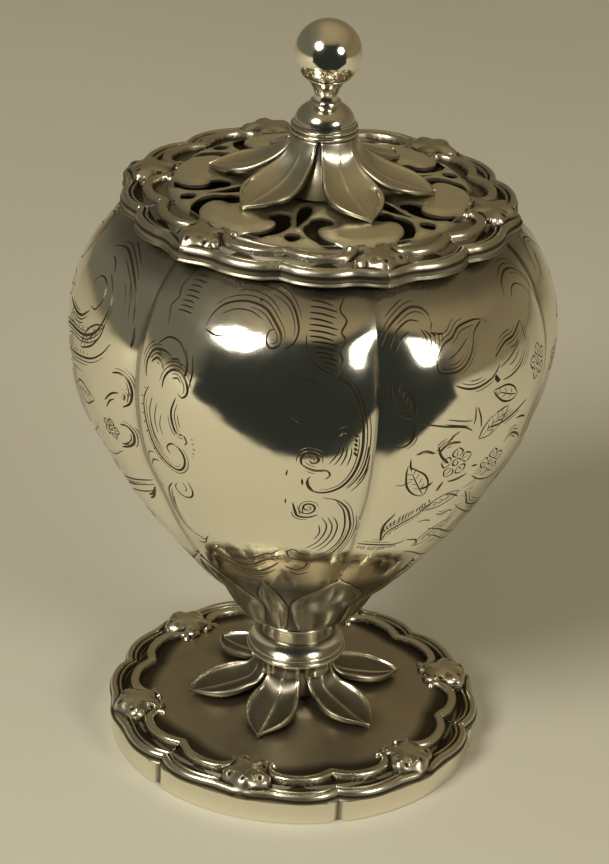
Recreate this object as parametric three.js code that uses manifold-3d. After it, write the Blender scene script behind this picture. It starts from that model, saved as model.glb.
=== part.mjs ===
// A silver sugar vase: a six-lobed body on a stem and a scalloped foot, with a pierced cover that pulls off.
// Millimetres, +Z up. The origin is the centre of the foot's base. A lobe faces -Y, so a crease lies along +X.
import * as THREE from "three";
import { mergeVertices } from "three/addons/utils/BufferGeometryUtils.js";
import Module from "manifold-3d";

// ---- driving dimensions ----
const LOBES = 6;
const LOBE_ANGLE = (2 * Math.PI) / LOBES;
const SHEET = 0.8; // thickness of the raised sheet silver
const SOLDER_GAP = 0.1; // left between a ring and the wall that it is soldered into
const FIT_GAP = 0.3; // left where the cover rests on the vase or slides in it

const FOOT_NOTCH_RADIUS = 41.7;
const FOOT_PEAK_RADIUS = 42.8;
const FOOT_WALL_HEIGHT = 5.2;
const FOOT_FLANGE_Z = 7.3; // top of the foot plate's flat edge, under the border
const FOOT_PLATE_TOP = 11.2; // top of the foot plate at the stem
const FOOT_BORDER_INNER = 34;

const KNOP_RING_RADIUS = 11.2;
const KNOP_TOP = 25.5;
const NECK_RADIUS = 9;
const BODY_BOTTOM = 30.3;
const BODY_TOP = 131;
const MOUTH_RADIUS = 38.3; // outside of the plain neck that the cover sits on
const CREASE_DEPTH = 1.5; // how far a crease lies below the lobes at the widest place
const CREASE_SHARPNESS = 5; // the higher, the narrower the crease

const COVER_TURN = THREE.MathUtils.degToRad(-26.1); // how far the cover is turned in the mouth
const COVER_NOTCH_RADIUS = 40.5;
const COVER_PEAK_RADIUS = 42.6;
const COVER_SKIRT_Z = 129.2; // lower edge of the cover's border
const COVER_FLANGE_Z = BODY_TOP + FIT_GAP; // underside of the cover plate's flat edge
const COVER_PLATE_TOP = 135.2; // top of the plate at the middle
const COVER_BORDER_INNER = 33.4;
const BEZEL_DEPTH = 7.3;

const CALYX_TOP = 146.2;
const STEM_BOTTOM = 148.9;
const BALL_RADIUS = 7.1;
const BALL_CENTRE = 163.4;
const STEM_TOP = 158.6;
const STUD_RADIUS = 1.5;
const STUD_HOLE_RADIUS = 1.8;
const WASHER_THICKNESS = 0.6;
const NUT_HEIGHT = 1.6;

// ---- materials ----
const silver = (color, roughness) =>
  new THREE.MeshStandardMaterial({ color, roughness, metalness: 1 });
const POLISHED = silver(0xdcd6c6, 0.16);
const CAST = silver(0xc9c0aa, 0.26);
const DARK_PATINA = silver(0x8f8675, 0.34);

// ---- making solids ----

// Turns every triangle of a closed geometry outwards.
function outward(geometry) {
  geometry.deleteAttribute("normal");
  geometry.deleteAttribute("uv");
  const closed = mergeVertices(geometry, 1e-4);
  const position = closed.attributes.position;
  const index = closed.index;
  const [a, b, c] = [new THREE.Vector3(), new THREE.Vector3(), new THREE.Vector3()];
  const kept = [];
  let volume = 0;
  for (let i = 0; i < index.count; i += 3) {
    const corners = [index.getX(i), index.getX(i + 1), index.getX(i + 2)];
    if (new Set(corners).size < 3) continue; // a lathe folds these flat on its axis
    kept.push(corners);
    a.fromBufferAttribute(position, corners[0]);
    b.fromBufferAttribute(position, corners[1]);
    c.fromBufferAttribute(position, corners[2]);
    volume += a.dot(b.cross(c));
  }
  if (volume < 0) kept.forEach((corners) => corners.reverse());
  closed.setIndex(kept.flat());
  closed.computeVertexNormals();
  return closed;
}

// Moves every point of a geometry with place(angle, radius, z), which returns the new radius.
function reshape(geometry, place) {
  const position = geometry.attributes.position;
  for (let i = 0; i < position.count; i += 1) {
    const [x, y, z] = [position.getX(i), position.getY(i), position.getZ(i)];
    const radius = Math.hypot(x, y);
    if (radius < 1e-6) continue;
    const scale = place(Math.atan2(y, x), radius, z) / radius;
    position.setXY(i, x * scale, y * scale);
  }
  return geometry;
}

// A turned solid. The profile is [radius, z] pairs that start and end on the axis.
function turned(profile, segments) {
  const points = profile.map(([radius, z]) => new THREE.Vector2(radius, z));
  return new THREE.LatheGeometry(points, segments).rotateX(Math.PI / 2);
}

// A turned ring. The profile's [radius, z] pairs go once round the section.
const ring = (profile, segments) => turned([...profile, profile[0]], segments);

const rectangle = (inner, outer, low, high) => [
  [inner, low],
  [outer, low],
  [outer, high],
  [inner, high],
];

// A bar with the given [x, y] section, bent by place(x, y, t), where t runs from 0 to 1 along the bar.
function bent(section, steps, place) {
  const shape = new THREE.Shape(section.map(([x, y]) => new THREE.Vector2(x, y)));
  const bar = new THREE.ExtrudeGeometry(shape, { depth: 1, steps, bevelEnabled: false });
  const position = bar.attributes.position;
  for (let i = 0; i < position.count; i += 1) {
    position.setXYZ(i, ...place(position.getX(i), position.getY(i), position.getZ(i)));
  }
  return bar;
}

const polar = (radius, angle, z) => [radius * Math.cos(angle), radius * Math.sin(angle), z];

function add(parent, name, geometry, material) {
  const mesh = new THREE.Mesh(outward(geometry), material);
  mesh.name = name;
  parent.add(mesh);
}

// ---- the scalloped outline that the foot and the cover share ----

// 0 at a notch and 1 halfway between two notches.
function fromNotch(angle) {
  const turns = angle / LOBE_ANGLE;
  return 1 - Math.abs((turns - Math.floor(turns)) * 2 - 1);
}

const ARC_END = 0.42; // where the round lobe beside a notch reaches its full radius
const DIP_END = 0.78; // where the shallow dip between that lobe and the shell ends
const DIP_DEPTH = 0.3;

function scallop(notchRadius, peakRadius) {
  return (angle) => {
    const t = fromNotch(angle);
    let share = 1;
    if (t < ARC_END) share = 1 - (1 - t / ARC_END) ** 2;
    else if (t < DIP_END) {
      share = 1 - DIP_DEPTH * Math.sin((Math.PI * (t - ARC_END)) / (DIP_END - ARC_END)) ** 2;
    }
    return notchRadius + (peakRadius - notchRadius) * share;
  };
}

const footOutline = scallop(FOOT_NOTCH_RADIUS, FOOT_PEAK_RADIUS);
const coverOutline = scallop(COVER_NOTCH_RADIUS, COVER_PEAK_RADIUS);

// A cast border section between two notches. The section's x runs from 0 at the inner edge to 1 at the outline,
// and its y is the height above the flange. What stands above the flange swells over the shell in the middle.
const BORDER_STEPS = 12;
const BORDER_END_GAP = 0.002; // radians left at each solder line
const SHELL_SWELL = 0.55;
const SHELL_HALF_WIDTH = 0.3; // as a share of the border section's length

function borderSection(lobe, section, outline, innerRadius, flangeZ) {
  return bent(section, BORDER_STEPS, (x, y, t) => {
    const from = lobe * LOBE_ANGLE + BORDER_END_GAP;
    const angle = from + t * (LOBE_ANGLE - 2 * BORDER_END_GAP);
    const across = Math.min(1, Math.abs(t - 0.5) / SHELL_HALF_WIDTH);
    const swell = y > 0 ? 1 + SHELL_SWELL * (1 - across ** 2) : 1;
    const radius = innerRadius + x * (outline(angle) - innerRadius);
    return polar(radius, angle, flangeZ + y * swell);
  });
}

// A leaf bent along a route of [radius, z] points. Its section is a shallow trough with raised edges. It is
// widest at the given share of its length.
const LEAF_STEPS = 8;
const LEAF_THICKNESS = 0.8;
const LEAF_TIP_WIDTH = 0.12; // half width that is left at the tip
const LEAF_SECTION = [
  [-1, 0.9],
  [-0.5, 0],
  [0, 0.35],
  [0.5, 0],
  [1, 0.9],
  [0.5, LEAF_THICKNESS],
  [0, 0.35 + LEAF_THICKNESS],
  [-0.5, LEAF_THICKNESS],
];

function leaf(lobe, route, halfWidth, widestAt, rootShare) {
  const middle = (lobe + 0.5) * LOBE_ANGLE;
  const curve = new THREE.SplineCurve(route.map(([radius, z]) => new THREE.Vector2(radius, z)));
  const out = new THREE.Vector2(Math.cos(middle), Math.sin(middle));
  const side = new THREE.Vector2(-out.y, out.x);
  const power = Math.log(0.5) / Math.log(widestAt);
  return bent(LEAF_SECTION, LEAF_STEPS, (x, y, t) => {
    const at = curve.getPoint(t);
    const along = curve.getTangent(t);
    const full = Math.sin(Math.PI * t ** power) + rootShare * (1 - t) ** 2;
    const width = Math.max(LEAF_TIP_WIDTH, halfWidth * full);
    const lift = y * Math.min(1, width / halfWidth + 0.35);
    const radius = at.x - along.y * lift;
    const z = at.y + along.x * lift;
    return [out.x * radius + side.x * x * width, out.y * radius + side.y * x * width, z];
  });
}

// ---- the vase ----

const vase = new THREE.Group();

function makeFoot() {
  const wall = ring(rectangle(1, 2, 0, FOOT_WALL_HEIGHT), 12 * LOBES);
  reshape(wall, (angle, side) => footOutline(angle) - (2 - side) * 1.3);
  add(vase, "foot_wall", wall, POLISHED);

  const plateSection = [
    [7, FOOT_PLATE_TOP],
    [9.5, FOOT_PLATE_TOP],
    [20, 10.2],
    [30, 9],
    [33.3, FOOT_FLANGE_Z],
    [37.9, FOOT_FLANGE_Z],
    [37.9, FOOT_FLANGE_Z - 1],
    [32.6, FOOT_FLANGE_Z - 1],
    [29.6, 9 - SHEET],
    [20, 10.2 - SHEET],
    [7, FOOT_PLATE_TOP - SHEET],
  ];
  add(vase, "foot_plate", ring(plateSection, 48), DARK_PATINA);

  const clearance = 0.1;
  const base = FOOT_FLANGE_Z + clearance;
  const drop = FOOT_WALL_HEIGHT - base;
  const section = [
    [0, 0],
    [0.55, 0],
    [0.55, drop],
    [1, drop],
    [1, -0.7],
    [0.93, 0.5],
    [0.78, 0.2],
    [0.62, 1.2],
    [0.45, 0.7],
    [0.2, 1.9],
    [0, 1.1],
  ];
  const route = [
    [9.1, 15],
    [10.6, 12.8],
    [14.5, 11.9],
    [20, 11.1],
    [25.5, 11.2],
  ];
  for (let lobe = 0; lobe < LOBES; lobe += 1) {
    const border = borderSection(lobe, section, footOutline, FOOT_BORDER_INNER, base);
    add(vase, `foot_border_${lobe + 1}`, border, CAST);
    add(vase, `foot_leaf_${lobe + 1}`, leaf(lobe, route, 5, 0.5, 0.6), CAST);
  }
}

function makeStem() {
  const bore = 6.6;
  const knop = [
    [bore, FOOT_PLATE_TOP],
    [8.6, FOOT_PLATE_TOP],
    [8.6, 15.2],
    [9, 18.2],
    [10, 20],
    [KNOP_RING_RADIUS, 21],
    [KNOP_RING_RADIUS, 22],
    [10.5, 23.1],
    [9.9, 24.6],
    [9.2, KNOP_TOP],
    [bore, KNOP_TOP],
  ];
  add(vase, "stem_knop", ring(knop, 32), POLISHED);
  const neck = rectangle(NECK_RADIUS - SHEET, NECK_RADIUS, KNOP_TOP, BODY_BOTTOM);
  add(vase, "stem_neck", ring(neck, 32), POLISHED);
}

// The outside of the body over a lobe, from the bottom to the foot of the plain neck, as [radius, z].
const BODY_OUTSIDE = [
  [9.4, BODY_BOTTOM],
  [13.8, 32.5],
  [18.7, 40.3],
  [25, 46.8],
  [31.4, 54.6],
  [39, 65],
  [44.8, 75.4],
  [50, 85.8],
  [52.5, 96.2],
  [52.9, 105.3],
  [51.4, 113.1],
  [48.4, 119.6],
  [43.6, 124.8],
  [38.9, 128.6],
];

// The same profile moved inwards by the sheet's thickness.
function inset(profile, distance) {
  return profile.map(([radius, z], i) => {
    const before = profile[Math.max(0, i - 1)];
    const after = profile[Math.min(profile.length - 1, i + 1)];
    const along = new THREE.Vector2(after[0] - before[0], after[1] - before[1]).normalize();
    return [radius - along.y * distance, z + along.x * distance];
  });
}

// How deep the creases are at a height: nothing at the stem and at the mouth, full at the widest place.
function creaseAt(z) {
  const rise = THREE.MathUtils.smoothstep(z, 36, 80);
  const fall = 1 - THREE.MathUtils.smoothstep(z, 116, 128);
  return CREASE_DEPTH * rise * fall;
}

function makeBody() {
  const inside = inset(BODY_OUTSIDE.slice(1), SHEET).reverse();
  const profile = [
    [0, BODY_BOTTOM],
    ...BODY_OUTSIDE,
    [MOUTH_RADIUS, 129.2],
    [MOUTH_RADIUS, BODY_TOP],
    [MOUTH_RADIUS - SHEET, BODY_TOP],
    [MOUTH_RADIUS - SHEET, 128.2],
    ...inside.slice(1),
    [0, inside[inside.length - 1][1] - 0.5],
  ];
  const shell = reshape(turned(profile, 10 * LOBES), (angle, radius, z) => {
    const outness = THREE.MathUtils.smoothstep(radius, 12, 20);
    return radius - creaseAt(z) * outness * (1 - fromNotch(angle)) ** CREASE_SHARPNESS;
  });
  add(vase, "body_shell", shell, POLISHED);

  const outer = MOUTH_RADIUS - SHEET - SOLDER_GAP;
  add(vase, "mouth_ring", ring(rectangle(outer - 0.9, outer, 127.8, 130.6), 48), POLISHED);
}

// ---- the cover ----

const cover = new THREE.Group();
cover.rotation.z = COVER_TURN;

const wasm = await Module();
wasm.setup();

function toManifold(geometry) {
  const closed = outward(geometry);
  return new wasm.Manifold(
    new wasm.Mesh({
      numProp: 3,
      vertProperties: Float32Array.from(closed.attributes.position.array),
      triVerts: Uint32Array.from(closed.index.array),
    }),
  );
}

function fromManifold(solid) {
  const mesh = solid.getMesh();
  const geometry = new THREE.BufferGeometry();
  geometry.setAttribute("position", new THREE.BufferAttribute(Float32Array.from(mesh.vertProperties), 3));
  geometry.setIndex(Array.from(mesh.triVerts));
  return geometry;
}

// The outline of a slot that follows a curve, with a half width for each share of its length.
function slotOutline(curve, halfWidth, steps) {
  const left = [];
  const right = [];
  for (let i = 0; i <= steps; i += 1) {
    const t = i / steps;
    const at = curve.getPoint(t);
    const along = curve.getTangent(t);
    const side = new THREE.Vector2(-along.y, along.x).multiplyScalar(halfWidth(t));
    left.push(at.clone().add(side));
    right.unshift(at.clone().sub(side));
  }
  return [...left, ...right];
}

const round = (radius, x, y, corners) =>
  Array.from({ length: corners }, (_, i) => {
    const angle = (2 * Math.PI * i) / corners;
    return new THREE.Vector2(x + radius * Math.cos(angle), y + radius * Math.sin(angle));
  });

// The openings of one sixth of the plate: x is measured outwards along a notch's direction and y across it.
// A dot and a teardrop lie on that direction, and a pair of scrolls lies beside it.
function piercing() {
  const drop = new THREE.LineCurve(new THREE.Vector2(13.8, 0), new THREE.Vector2(25, 0));
  const dropWidth = (t) => 0.3 + 1.2 * Math.sin(Math.PI * Math.min(1, 0.12 + t * 0.88)) * (1 - t) ** 0.6;
  const shapes = [slotOutline(drop, dropWidth, 6), round(1.35, 29.4, 0, 8)];
  for (const side of [1, -1]) {
    const scroll = new THREE.SplineCurve(
      [
        [21.2, 3.8],
        [23.2, 2.7],
        [26, 2.6],
        [29, 4.5],
        [30.6, 7.4],
        [30.8, 10.4],
      ].map(([x, y]) => new THREE.Vector2(x, y * side)),
    );
    const scrollWidth = (t) => 0.2 + 0.8 * Math.sin(Math.PI * (0.25 + t * 0.75));
    shapes.push(round(1.7, 20.8, 4.4 * side, 9), slotOutline(scroll, scrollWidth, 7));
  }
  return shapes;
}

function makePlate() {
  const flangeTop = COVER_FLANGE_Z + 1;
  const section = [
    [0, COVER_PLATE_TOP],
    [18, COVER_PLATE_TOP - 0.3],
    [31, COVER_PLATE_TOP - 1.2],
    [33.4, flangeTop],
    [37.6, flangeTop],
    [37.6, COVER_FLANGE_Z],
    [32.6, COVER_FLANGE_Z],
    [30.4, COVER_PLATE_TOP - 1.2 - SHEET],
    [18, COVER_PLATE_TOP - 0.3 - SHEET],
    [0, COVER_PLATE_TOP - SHEET],
  ];
  let plate = toManifold(turned(section, 48));
  const cut = (outline, turn) => {
    const prism = new THREE.ExtrudeGeometry(new THREE.Shape(outline), { depth: 20, bevelEnabled: false });
    plate = plate.subtract(toManifold(prism.rotateZ(turn).translate(0, 0, COVER_FLANGE_Z - 10)));
  };
  for (let lobe = 0; lobe < LOBES; lobe += 1) {
    piercing().forEach((outline) => cut(outline, lobe * LOBE_ANGLE));
  }
  cut(round(STUD_HOLE_RADIUS, 0, 0, 12), 0);
  add(cover, "lid_plate", fromManifold(plate), CAST);
}

function makeCoverBorder() {
  const clearance = 0.1;
  const base = COVER_FLANGE_Z + 1 + clearance;
  const overNeck = COVER_FLANGE_Z - base;
  const skirt = COVER_SKIRT_Z - base;
  const section = [
    [0, 0],
    [0.6, 0],
    [0.6, overNeck],
    [0.76, overNeck],
    [0.76, skirt],
    [1, skirt],
    [1, skirt + 1.4],
    [0.92, -0.1],
    [0.8, -0.5],
    [0.64, 0.8],
    [0.45, 0.4],
    [0.2, 1.3],
    [0, 0.8],
  ];
  for (let lobe = 0; lobe < LOBES; lobe += 1) {
    const border = borderSection(lobe, section, coverOutline, COVER_BORDER_INNER, base);
    add(cover, `lid_border_${lobe + 1}`, border, CAST);
  }
}

function makeBezel() {
  const outer = MOUTH_RADIUS - SHEET - SOLDER_GAP - 0.9 - FIT_GAP;
  const section = rectangle(outer - 1, outer, COVER_FLANGE_Z - BEZEL_DEPTH, COVER_FLANGE_Z);
  add(cover, "lid_bezel", ring(section, 48), POLISHED);
}

function makeCalyx() {
  const foot = COVER_PLATE_TOP + FIT_GAP;
  const cone = [
    [STUD_HOLE_RADIUS, CALYX_TOP],
    [6.2, CALYX_TOP],
    [6.8, 143],
    [8.6, 139.2],
    [12.6, foot],
    [11.4, foot],
    [7.6, 138.6],
    [5.8, CALYX_TOP - SHEET],
    [STUD_HOLE_RADIUS, CALYX_TOP - SHEET],
  ];
  add(cover, "calyx_cone", ring(cone, 32), CAST);
  const route = [
    [7.4, 145.6],
    [8.6, 141.6],
    [12, 138.6],
    [17, 136.9],
    [23.6, 135.9],
  ];
  for (let lobe = 0; lobe < LOBES; lobe += 1) {
    add(cover, `lid_leaf_${lobe + 1}`, leaf(lobe, route, 5.2, 0.64, 0.5), POLISHED);
  }
}

function makeFinial() {
  const collar = [
    [STUD_HOLE_RADIUS, CALYX_TOP],
    [7.1, CALYX_TOP],
    [7.1, CALYX_TOP + 1],
    [6.7, CALYX_TOP + 1.3],
    [7, CALYX_TOP + 1.6],
    [6.6, STEM_BOTTOM],
    [STUD_HOLE_RADIUS, STEM_BOTTOM],
  ];
  add(cover, "finial_collar", ring(collar, 24), POLISHED);
  const stem = [
    [0, STEM_BOTTOM],
    [6.3, STEM_BOTTOM],
    [6, 149.9],
    [5.1, 151.3],
    [3.4, 152.5],
    [2.5, 153.6],
    [2.5, 154.6],
    [3.2, 156.4],
    [4.4, 158.1],
    [4.1, STEM_TOP],
    [0, STEM_TOP],
  ];
  add(cover, "finial_stem", turned(stem, 24), POLISHED);

  const from = Math.asin((STEM_TOP - BALL_CENTRE) / BALL_RADIUS);
  const arc = Array.from({ length: 10 }, (_, i) => from + ((Math.PI / 2 - from) * i) / 9);
  const onBall = arc.map((a) => [BALL_RADIUS * Math.cos(a), BALL_CENTRE + BALL_RADIUS * Math.sin(a)]);
  const ball = [[0, STEM_TOP], ...onBall.slice(0, -1), [0, BALL_CENTRE + BALL_RADIUS]];
  add(cover, "finial_ball", turned(ball, 24), POLISHED);
}

function makeFastening() {
  const plateUnderside = COVER_PLATE_TOP - SHEET;
  const washerBottom = plateUnderside - FIT_GAP - WASHER_THICKNESS;
  const nutBottom = washerBottom - NUT_HEIGHT;
  const studBottom = nutBottom - 0.3;
  const stud = [
    [0, studBottom],
    [STUD_RADIUS, studBottom],
    [STUD_RADIUS, STEM_BOTTOM],
    [0, STEM_BOTTOM],
  ];
  add(cover, "finial_stud", turned(stud, 16), POLISHED);
  const washer = rectangle(STUD_HOLE_RADIUS, 4.6, washerBottom, washerBottom + WASHER_THICKNESS);
  add(cover, "finial_washer", ring(washer, 16), CAST);
  const hexagon = new THREE.Shape(round(3.4, 0, 0, 6));
  hexagon.holes.push(new THREE.Path(round(STUD_HOLE_RADIUS, 0, 0, 16)));
  const nut = new THREE.ExtrudeGeometry(hexagon, { depth: NUT_HEIGHT, bevelEnabled: false });
  add(cover, "finial_nut", nut.translate(0, 0, nutBottom), CAST);
}

makeFoot();
makeStem();
makeBody();
makePlate();
makeCoverBorder();
makeBezel();
makeCalyx();
makeFinial();
makeFastening();

const sugarVase = new THREE.Group();
sugarVase.add(vase, cover);

export default sugarVase;
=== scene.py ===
import math

import bpy
import numpy as np
from mathutils import Matrix, Vector
from mathutils.geometry import delaunay_2d_cdt


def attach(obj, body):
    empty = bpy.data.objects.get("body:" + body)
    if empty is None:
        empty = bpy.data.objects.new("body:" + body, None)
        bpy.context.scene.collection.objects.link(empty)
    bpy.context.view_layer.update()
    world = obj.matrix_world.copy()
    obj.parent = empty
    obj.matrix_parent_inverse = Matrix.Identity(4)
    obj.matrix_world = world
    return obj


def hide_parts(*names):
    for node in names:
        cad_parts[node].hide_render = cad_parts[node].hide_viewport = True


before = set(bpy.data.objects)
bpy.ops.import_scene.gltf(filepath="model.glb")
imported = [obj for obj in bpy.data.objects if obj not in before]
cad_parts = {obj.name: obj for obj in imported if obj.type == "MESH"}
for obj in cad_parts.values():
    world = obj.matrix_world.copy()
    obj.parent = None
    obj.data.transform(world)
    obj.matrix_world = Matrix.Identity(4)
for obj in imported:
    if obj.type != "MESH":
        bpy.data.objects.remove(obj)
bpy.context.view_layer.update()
bpy.context.scene.view_settings.view_transform = "Standard"

MM = 0.001
LOBES = 6
LOBE_DEG = 360 / LOBES
COVER_TURN = -26.1  # degrees that the cover is turned in the mouth
rng = np.random.default_rng(7)


# ---- numbers ----


def smooth(value, low, high):
    """0 below low, 1 above high, and a smooth rise between them."""
    t = np.clip((np.asarray(value, float) - low) / (high - low), 0, 1)
    return t * t * (3 - 2 * t)


def spline(points, step):
    """A smooth curve through points, sampled about every step along its length."""
    p = np.asarray(points, float)
    before = np.vstack([2 * p[0] - p[1], p[:-2], p[-2:-1]])[: len(p) - 1]
    after = np.vstack([p[2:], 2 * p[-1] - p[-2]])
    out = []
    for a, b, c, d in zip(before, p[:-1], p[1:], after):
        count = max(2, int(math.ceil(np.linalg.norm(c - b) / step)))
        t = (np.arange(count) / count)[:, None]
        bend = (2 * a - 5 * b + 4 * c - d) * t**2 + (3 * b - a - 3 * c + d) * t**3
        out.append(0.5 * (2 * b + (c - a) * t + bend))
    return np.vstack(out + [p[-1:]])


def from_notch(degrees):
    """Degrees between a direction and the nearest notch or crease: 0 to half a lobe."""
    turn = np.mod(degrees, LOBE_DEG)
    return np.minimum(turn, LOBE_DEG - turn)


def polar(radius, degrees):
    angle = np.radians(degrees)
    return radius * np.cos(angle), radius * np.sin(angle)


def distance_to_path(x, y, path):
    """Distance from every point to a polyline, and how far along the line (0 to 1) the nearest place is."""
    a = path[:-1]
    d = path[1:] - a
    length = np.maximum((d**2).sum(1), 1e-12)
    best = np.full(x.shape, 1e9)
    share = np.zeros(x.shape)
    for i in range(len(a)):
        t = np.clip(((x - a[i, 0]) * d[i, 0] + (y - a[i, 1]) * d[i, 1]) / length[i], 0, 1)
        gap = np.hypot(x - a[i, 0] - t * d[i, 0], y - a[i, 1] - t * d[i, 1])
        closer = gap < best
        best = np.where(closer, gap, best)
        share = np.where(closer, (i + t) / len(a), share)
    return best, share


# ---- meshes ----


def grid_faces(rows, columns, wrap_rows=False, wrap_columns=False):
    """Quads over a grid of points stored row by row."""
    i = np.arange(rows if wrap_rows else rows - 1)
    j = np.arange(columns if wrap_columns else columns - 1)
    i, j = np.meshgrid(i, j, indexing="ij")
    up, right = (i + 1) % rows, (j + 1) % columns
    quads = np.stack([i * columns + j, i * columns + right, up * columns + right, up * columns + j], -1)
    return quads.reshape(-1, 4)


def piece(name, points, faces, materials, body, nodes, patina_and_shade=None, smooth_angle=40):
    """Makes a mesh object out of points in millimetres, and puts it in the place of CAD nodes."""
    mesh = bpy.data.meshes.new(name)
    mesh.from_pydata((np.asarray(points, float) * MM).tolist(), [], [list(map(int, f)) for f in faces])
    mesh.update()
    mesh.shade_smooth()
    if smooth_angle:
        mesh.set_sharp_from_angle(angle=math.radians(smooth_angle))
    # Each point's darkness: tarnish in hollows, and in places painted shade.
    values = np.zeros(len(mesh.vertices)) if patina_and_shade is None else np.asarray(patina_and_shade, float)
    mesh.attributes.new("patina_and_shade", "FLOAT", "POINT").data.foreach_set("value", values.astype(np.float32))
    for material in materials:
        mesh.materials.append(material)
    obj = bpy.data.objects.new(name, mesh)
    bpy.context.scene.collection.objects.link(obj)
    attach(obj, body)
    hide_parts(*nodes)
    return obj


def turned_piece(name, profile, material, body, nodes, segments=128, patina_and_shade=None, angle=30):
    """A turned piece. The profile's [radius, z] pairs start and end on the axis, or go once round a ring."""
    profile = np.asarray(profile, float)
    solid = profile[0, 0] < 1e-6
    theta = np.linspace(0, 360, segments, endpoint=False)
    if solid:
        inner = profile[1:-1]
        x, y = polar(inner[:, 0][:, None], theta[None, :])
        z = np.repeat(inner[:, 1][:, None], segments, 1)
        points = np.stack([x, y, z], -1).reshape(-1, 3)
        faces = [list(f) for f in grid_faces(len(inner), segments, wrap_columns=True)]
        first, last = len(points), len(points) + 1
        points = np.vstack([points, [0, 0, profile[0, 1]], [0, 0, profile[-1, 1]]])
        end = (len(inner) - 1) * segments
        for j in range(segments):
            right = (j + 1) % segments
            faces.append([first, right, j])
            faces.append([last, end + j, end + right])
        depth = None if patina_and_shade is None else np.concatenate([np.repeat(patina_and_shade(inner), segments), [0, 0]])
    else:
        x, y = polar(profile[:, 0][:, None], theta[None, :])
        z = np.repeat(profile[:, 1][:, None], segments, 1)
        points = np.stack([x, y, z], -1).reshape(-1, 3)
        faces = grid_faces(len(profile), segments, wrap_rows=True, wrap_columns=True)
        depth = None if patina_and_shade is None else np.repeat(patina_and_shade(profile), segments)
    return piece(name, points, faces, [material], body, nodes, depth, angle)


def arc(radius, z, size, start, end, steps=8):
    """Profile points on a circle round (radius, z), between two angles in degrees."""
    a = np.radians(np.linspace(start, end, steps))
    return [(radius + size * math.cos(t), z + size * math.sin(t)) for t in a]


# ---- materials ----


def new_material(name):
    """A material with its principled shader, and its nodes and links."""
    material = bpy.data.materials.new(name)
    material.use_nodes = True
    nodes = material.node_tree.nodes
    return material, nodes["Principled BSDF"], nodes, material.node_tree.links


def noise(nodes, links, where, scale, detail, roughness=0.5):
    node = nodes.new("ShaderNodeTexNoise")
    node.inputs["Scale"].default_value = scale
    node.inputs["Detail"].default_value = detail
    node.inputs["Roughness"].default_value = roughness
    links.new(where, node.inputs["Vector"])
    return node.outputs["Fac"]


def arithmetic(nodes, links, operation, *terms):
    """One sum or product of sockets and numbers."""
    node = nodes.new("ShaderNodeMath")
    node.operation = operation
    for i, term in enumerate(terms):
        if isinstance(term, (int, float)):
            node.inputs[i].default_value = term
        else:
            links.new(term, node.inputs[i])
    return node.outputs[0]


def ranged(nodes, links, value, old, new=(0, 1), kind="LINEAR"):
    """Maps a value from its old range to a new one."""
    node = nodes.new("ShaderNodeMapRange")
    node.interpolation_type = kind
    for socket, number in zip(("From Min", "From Max", "To Min", "To Max"), (*old, *new)):
        node.inputs[socket].default_value = number
    links.new(value, node.inputs["Value"])
    return node.outputs[0]


def silver(name, clean, tarnish, roughness, tarnished_roughness, blotches, bump_mm, bump_size):
    """Worn silver: bright where rubbed, brown-black where polish never reaches and where shade is painted,
    both read from one vertex attribute.
    """
    material, shader, nodes, links = new_material(name)
    shader.inputs["Metallic"].default_value = 1
    where = nodes.new("ShaderNodeTexCoord").outputs["Object"]

    # Tarnish in hollows and painted shade both darken unevenly, and open surfaces tarnish a little.
    patina_and_shade = nodes.new("ShaderNodeAttribute")
    patina_and_shade.attribute_name = "patina_and_shade"
    cloud = noise(nodes, links, where, 70, 6, 0.62)
    spread = arithmetic(nodes, links, "MULTIPLY_ADD", cloud, blotches, -0.55 * blotches)
    total = arithmetic(nodes, links, "ADD", patina_and_shade.outputs["Fac"], spread)
    total.node.use_clamp = True

    tint = nodes.new("ShaderNodeValToRGB")
    ramp = tint.color_ramp
    ramp.elements[0].color = (*clean, 1)
    ramp.elements[1].color = (*tarnish, 1)
    middle = ramp.elements.new(0.45)
    middle.color = (*[0.45 * a + 0.55 * b for a, b in zip(clean, tarnish)], 1)
    links.new(total, tint.inputs["Fac"])
    links.new(tint.outputs["Color"], shader.inputs["Base Color"])

    wear = noise(nodes, links, where, 420, 4)
    rough = ranged(nodes, links, total, (0, 1), (roughness, tarnished_roughness))
    mottle = arithmetic(nodes, links, "MULTIPLY_ADD", wear, roughness * 0.7, rough)
    links.new(mottle, shader.inputs["Roughness"])

    # The hand-worked surface is never quite even, and polishing has left fine hair lines.
    planish = noise(nodes, links, where, 1000 / bump_size, 2)
    stretch = nodes.new("ShaderNodeMapping")
    stretch.inputs["Scale"].default_value = (1, 1, 9)
    stretch.inputs["Rotation"].default_value = (0.5, 0.3, 0)
    links.new(where, stretch.inputs["Vector"])
    hair = noise(nodes, links, stretch.outputs[0], 900, 3)
    bump = nodes.new("ShaderNodeBump")
    bump.inputs["Strength"].default_value = 1
    bump.inputs["Distance"].default_value = bump_mm * MM
    links.new(arithmetic(nodes, links, "MULTIPLY_ADD", hair, 0.012, planish), bump.inputs["Height"])
    links.new(bump.outputs[0], shader.inputs["Normal"])
    return material


CLEAN = (0.92, 0.875, 0.72)
CAST_TONE = (0.80, 0.745, 0.58)
BROWN = (0.050, 0.038, 0.020)
polished = silver("polished_silver_look", CLEAN, BROWN, 0.08, 0.34, 0.10, 0.26, 13)
cast = silver("cast_silver_look", CAST_TONE, BROWN, 0.15, 0.45, 0.22, 0.07, 6)
pierced = silver("pierced_silver_look", (0.90, 0.845, 0.64), BROWN, 0.22, 0.45, 0.40, 0.05, 5)
# A darker silver, used for the foot plate.
dark_plate_silver = silver("dark_plate_silver_look", (0.58, 0.51, 0.38), BROWN, 0.25, 0.45, 0.35, 0.10, 9)
cut = silver("engraved_cut_look", (0.13, 0.10, 0.06), BROWN, 0.34, 0.45, 0.5, 0.02, 2)


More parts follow.
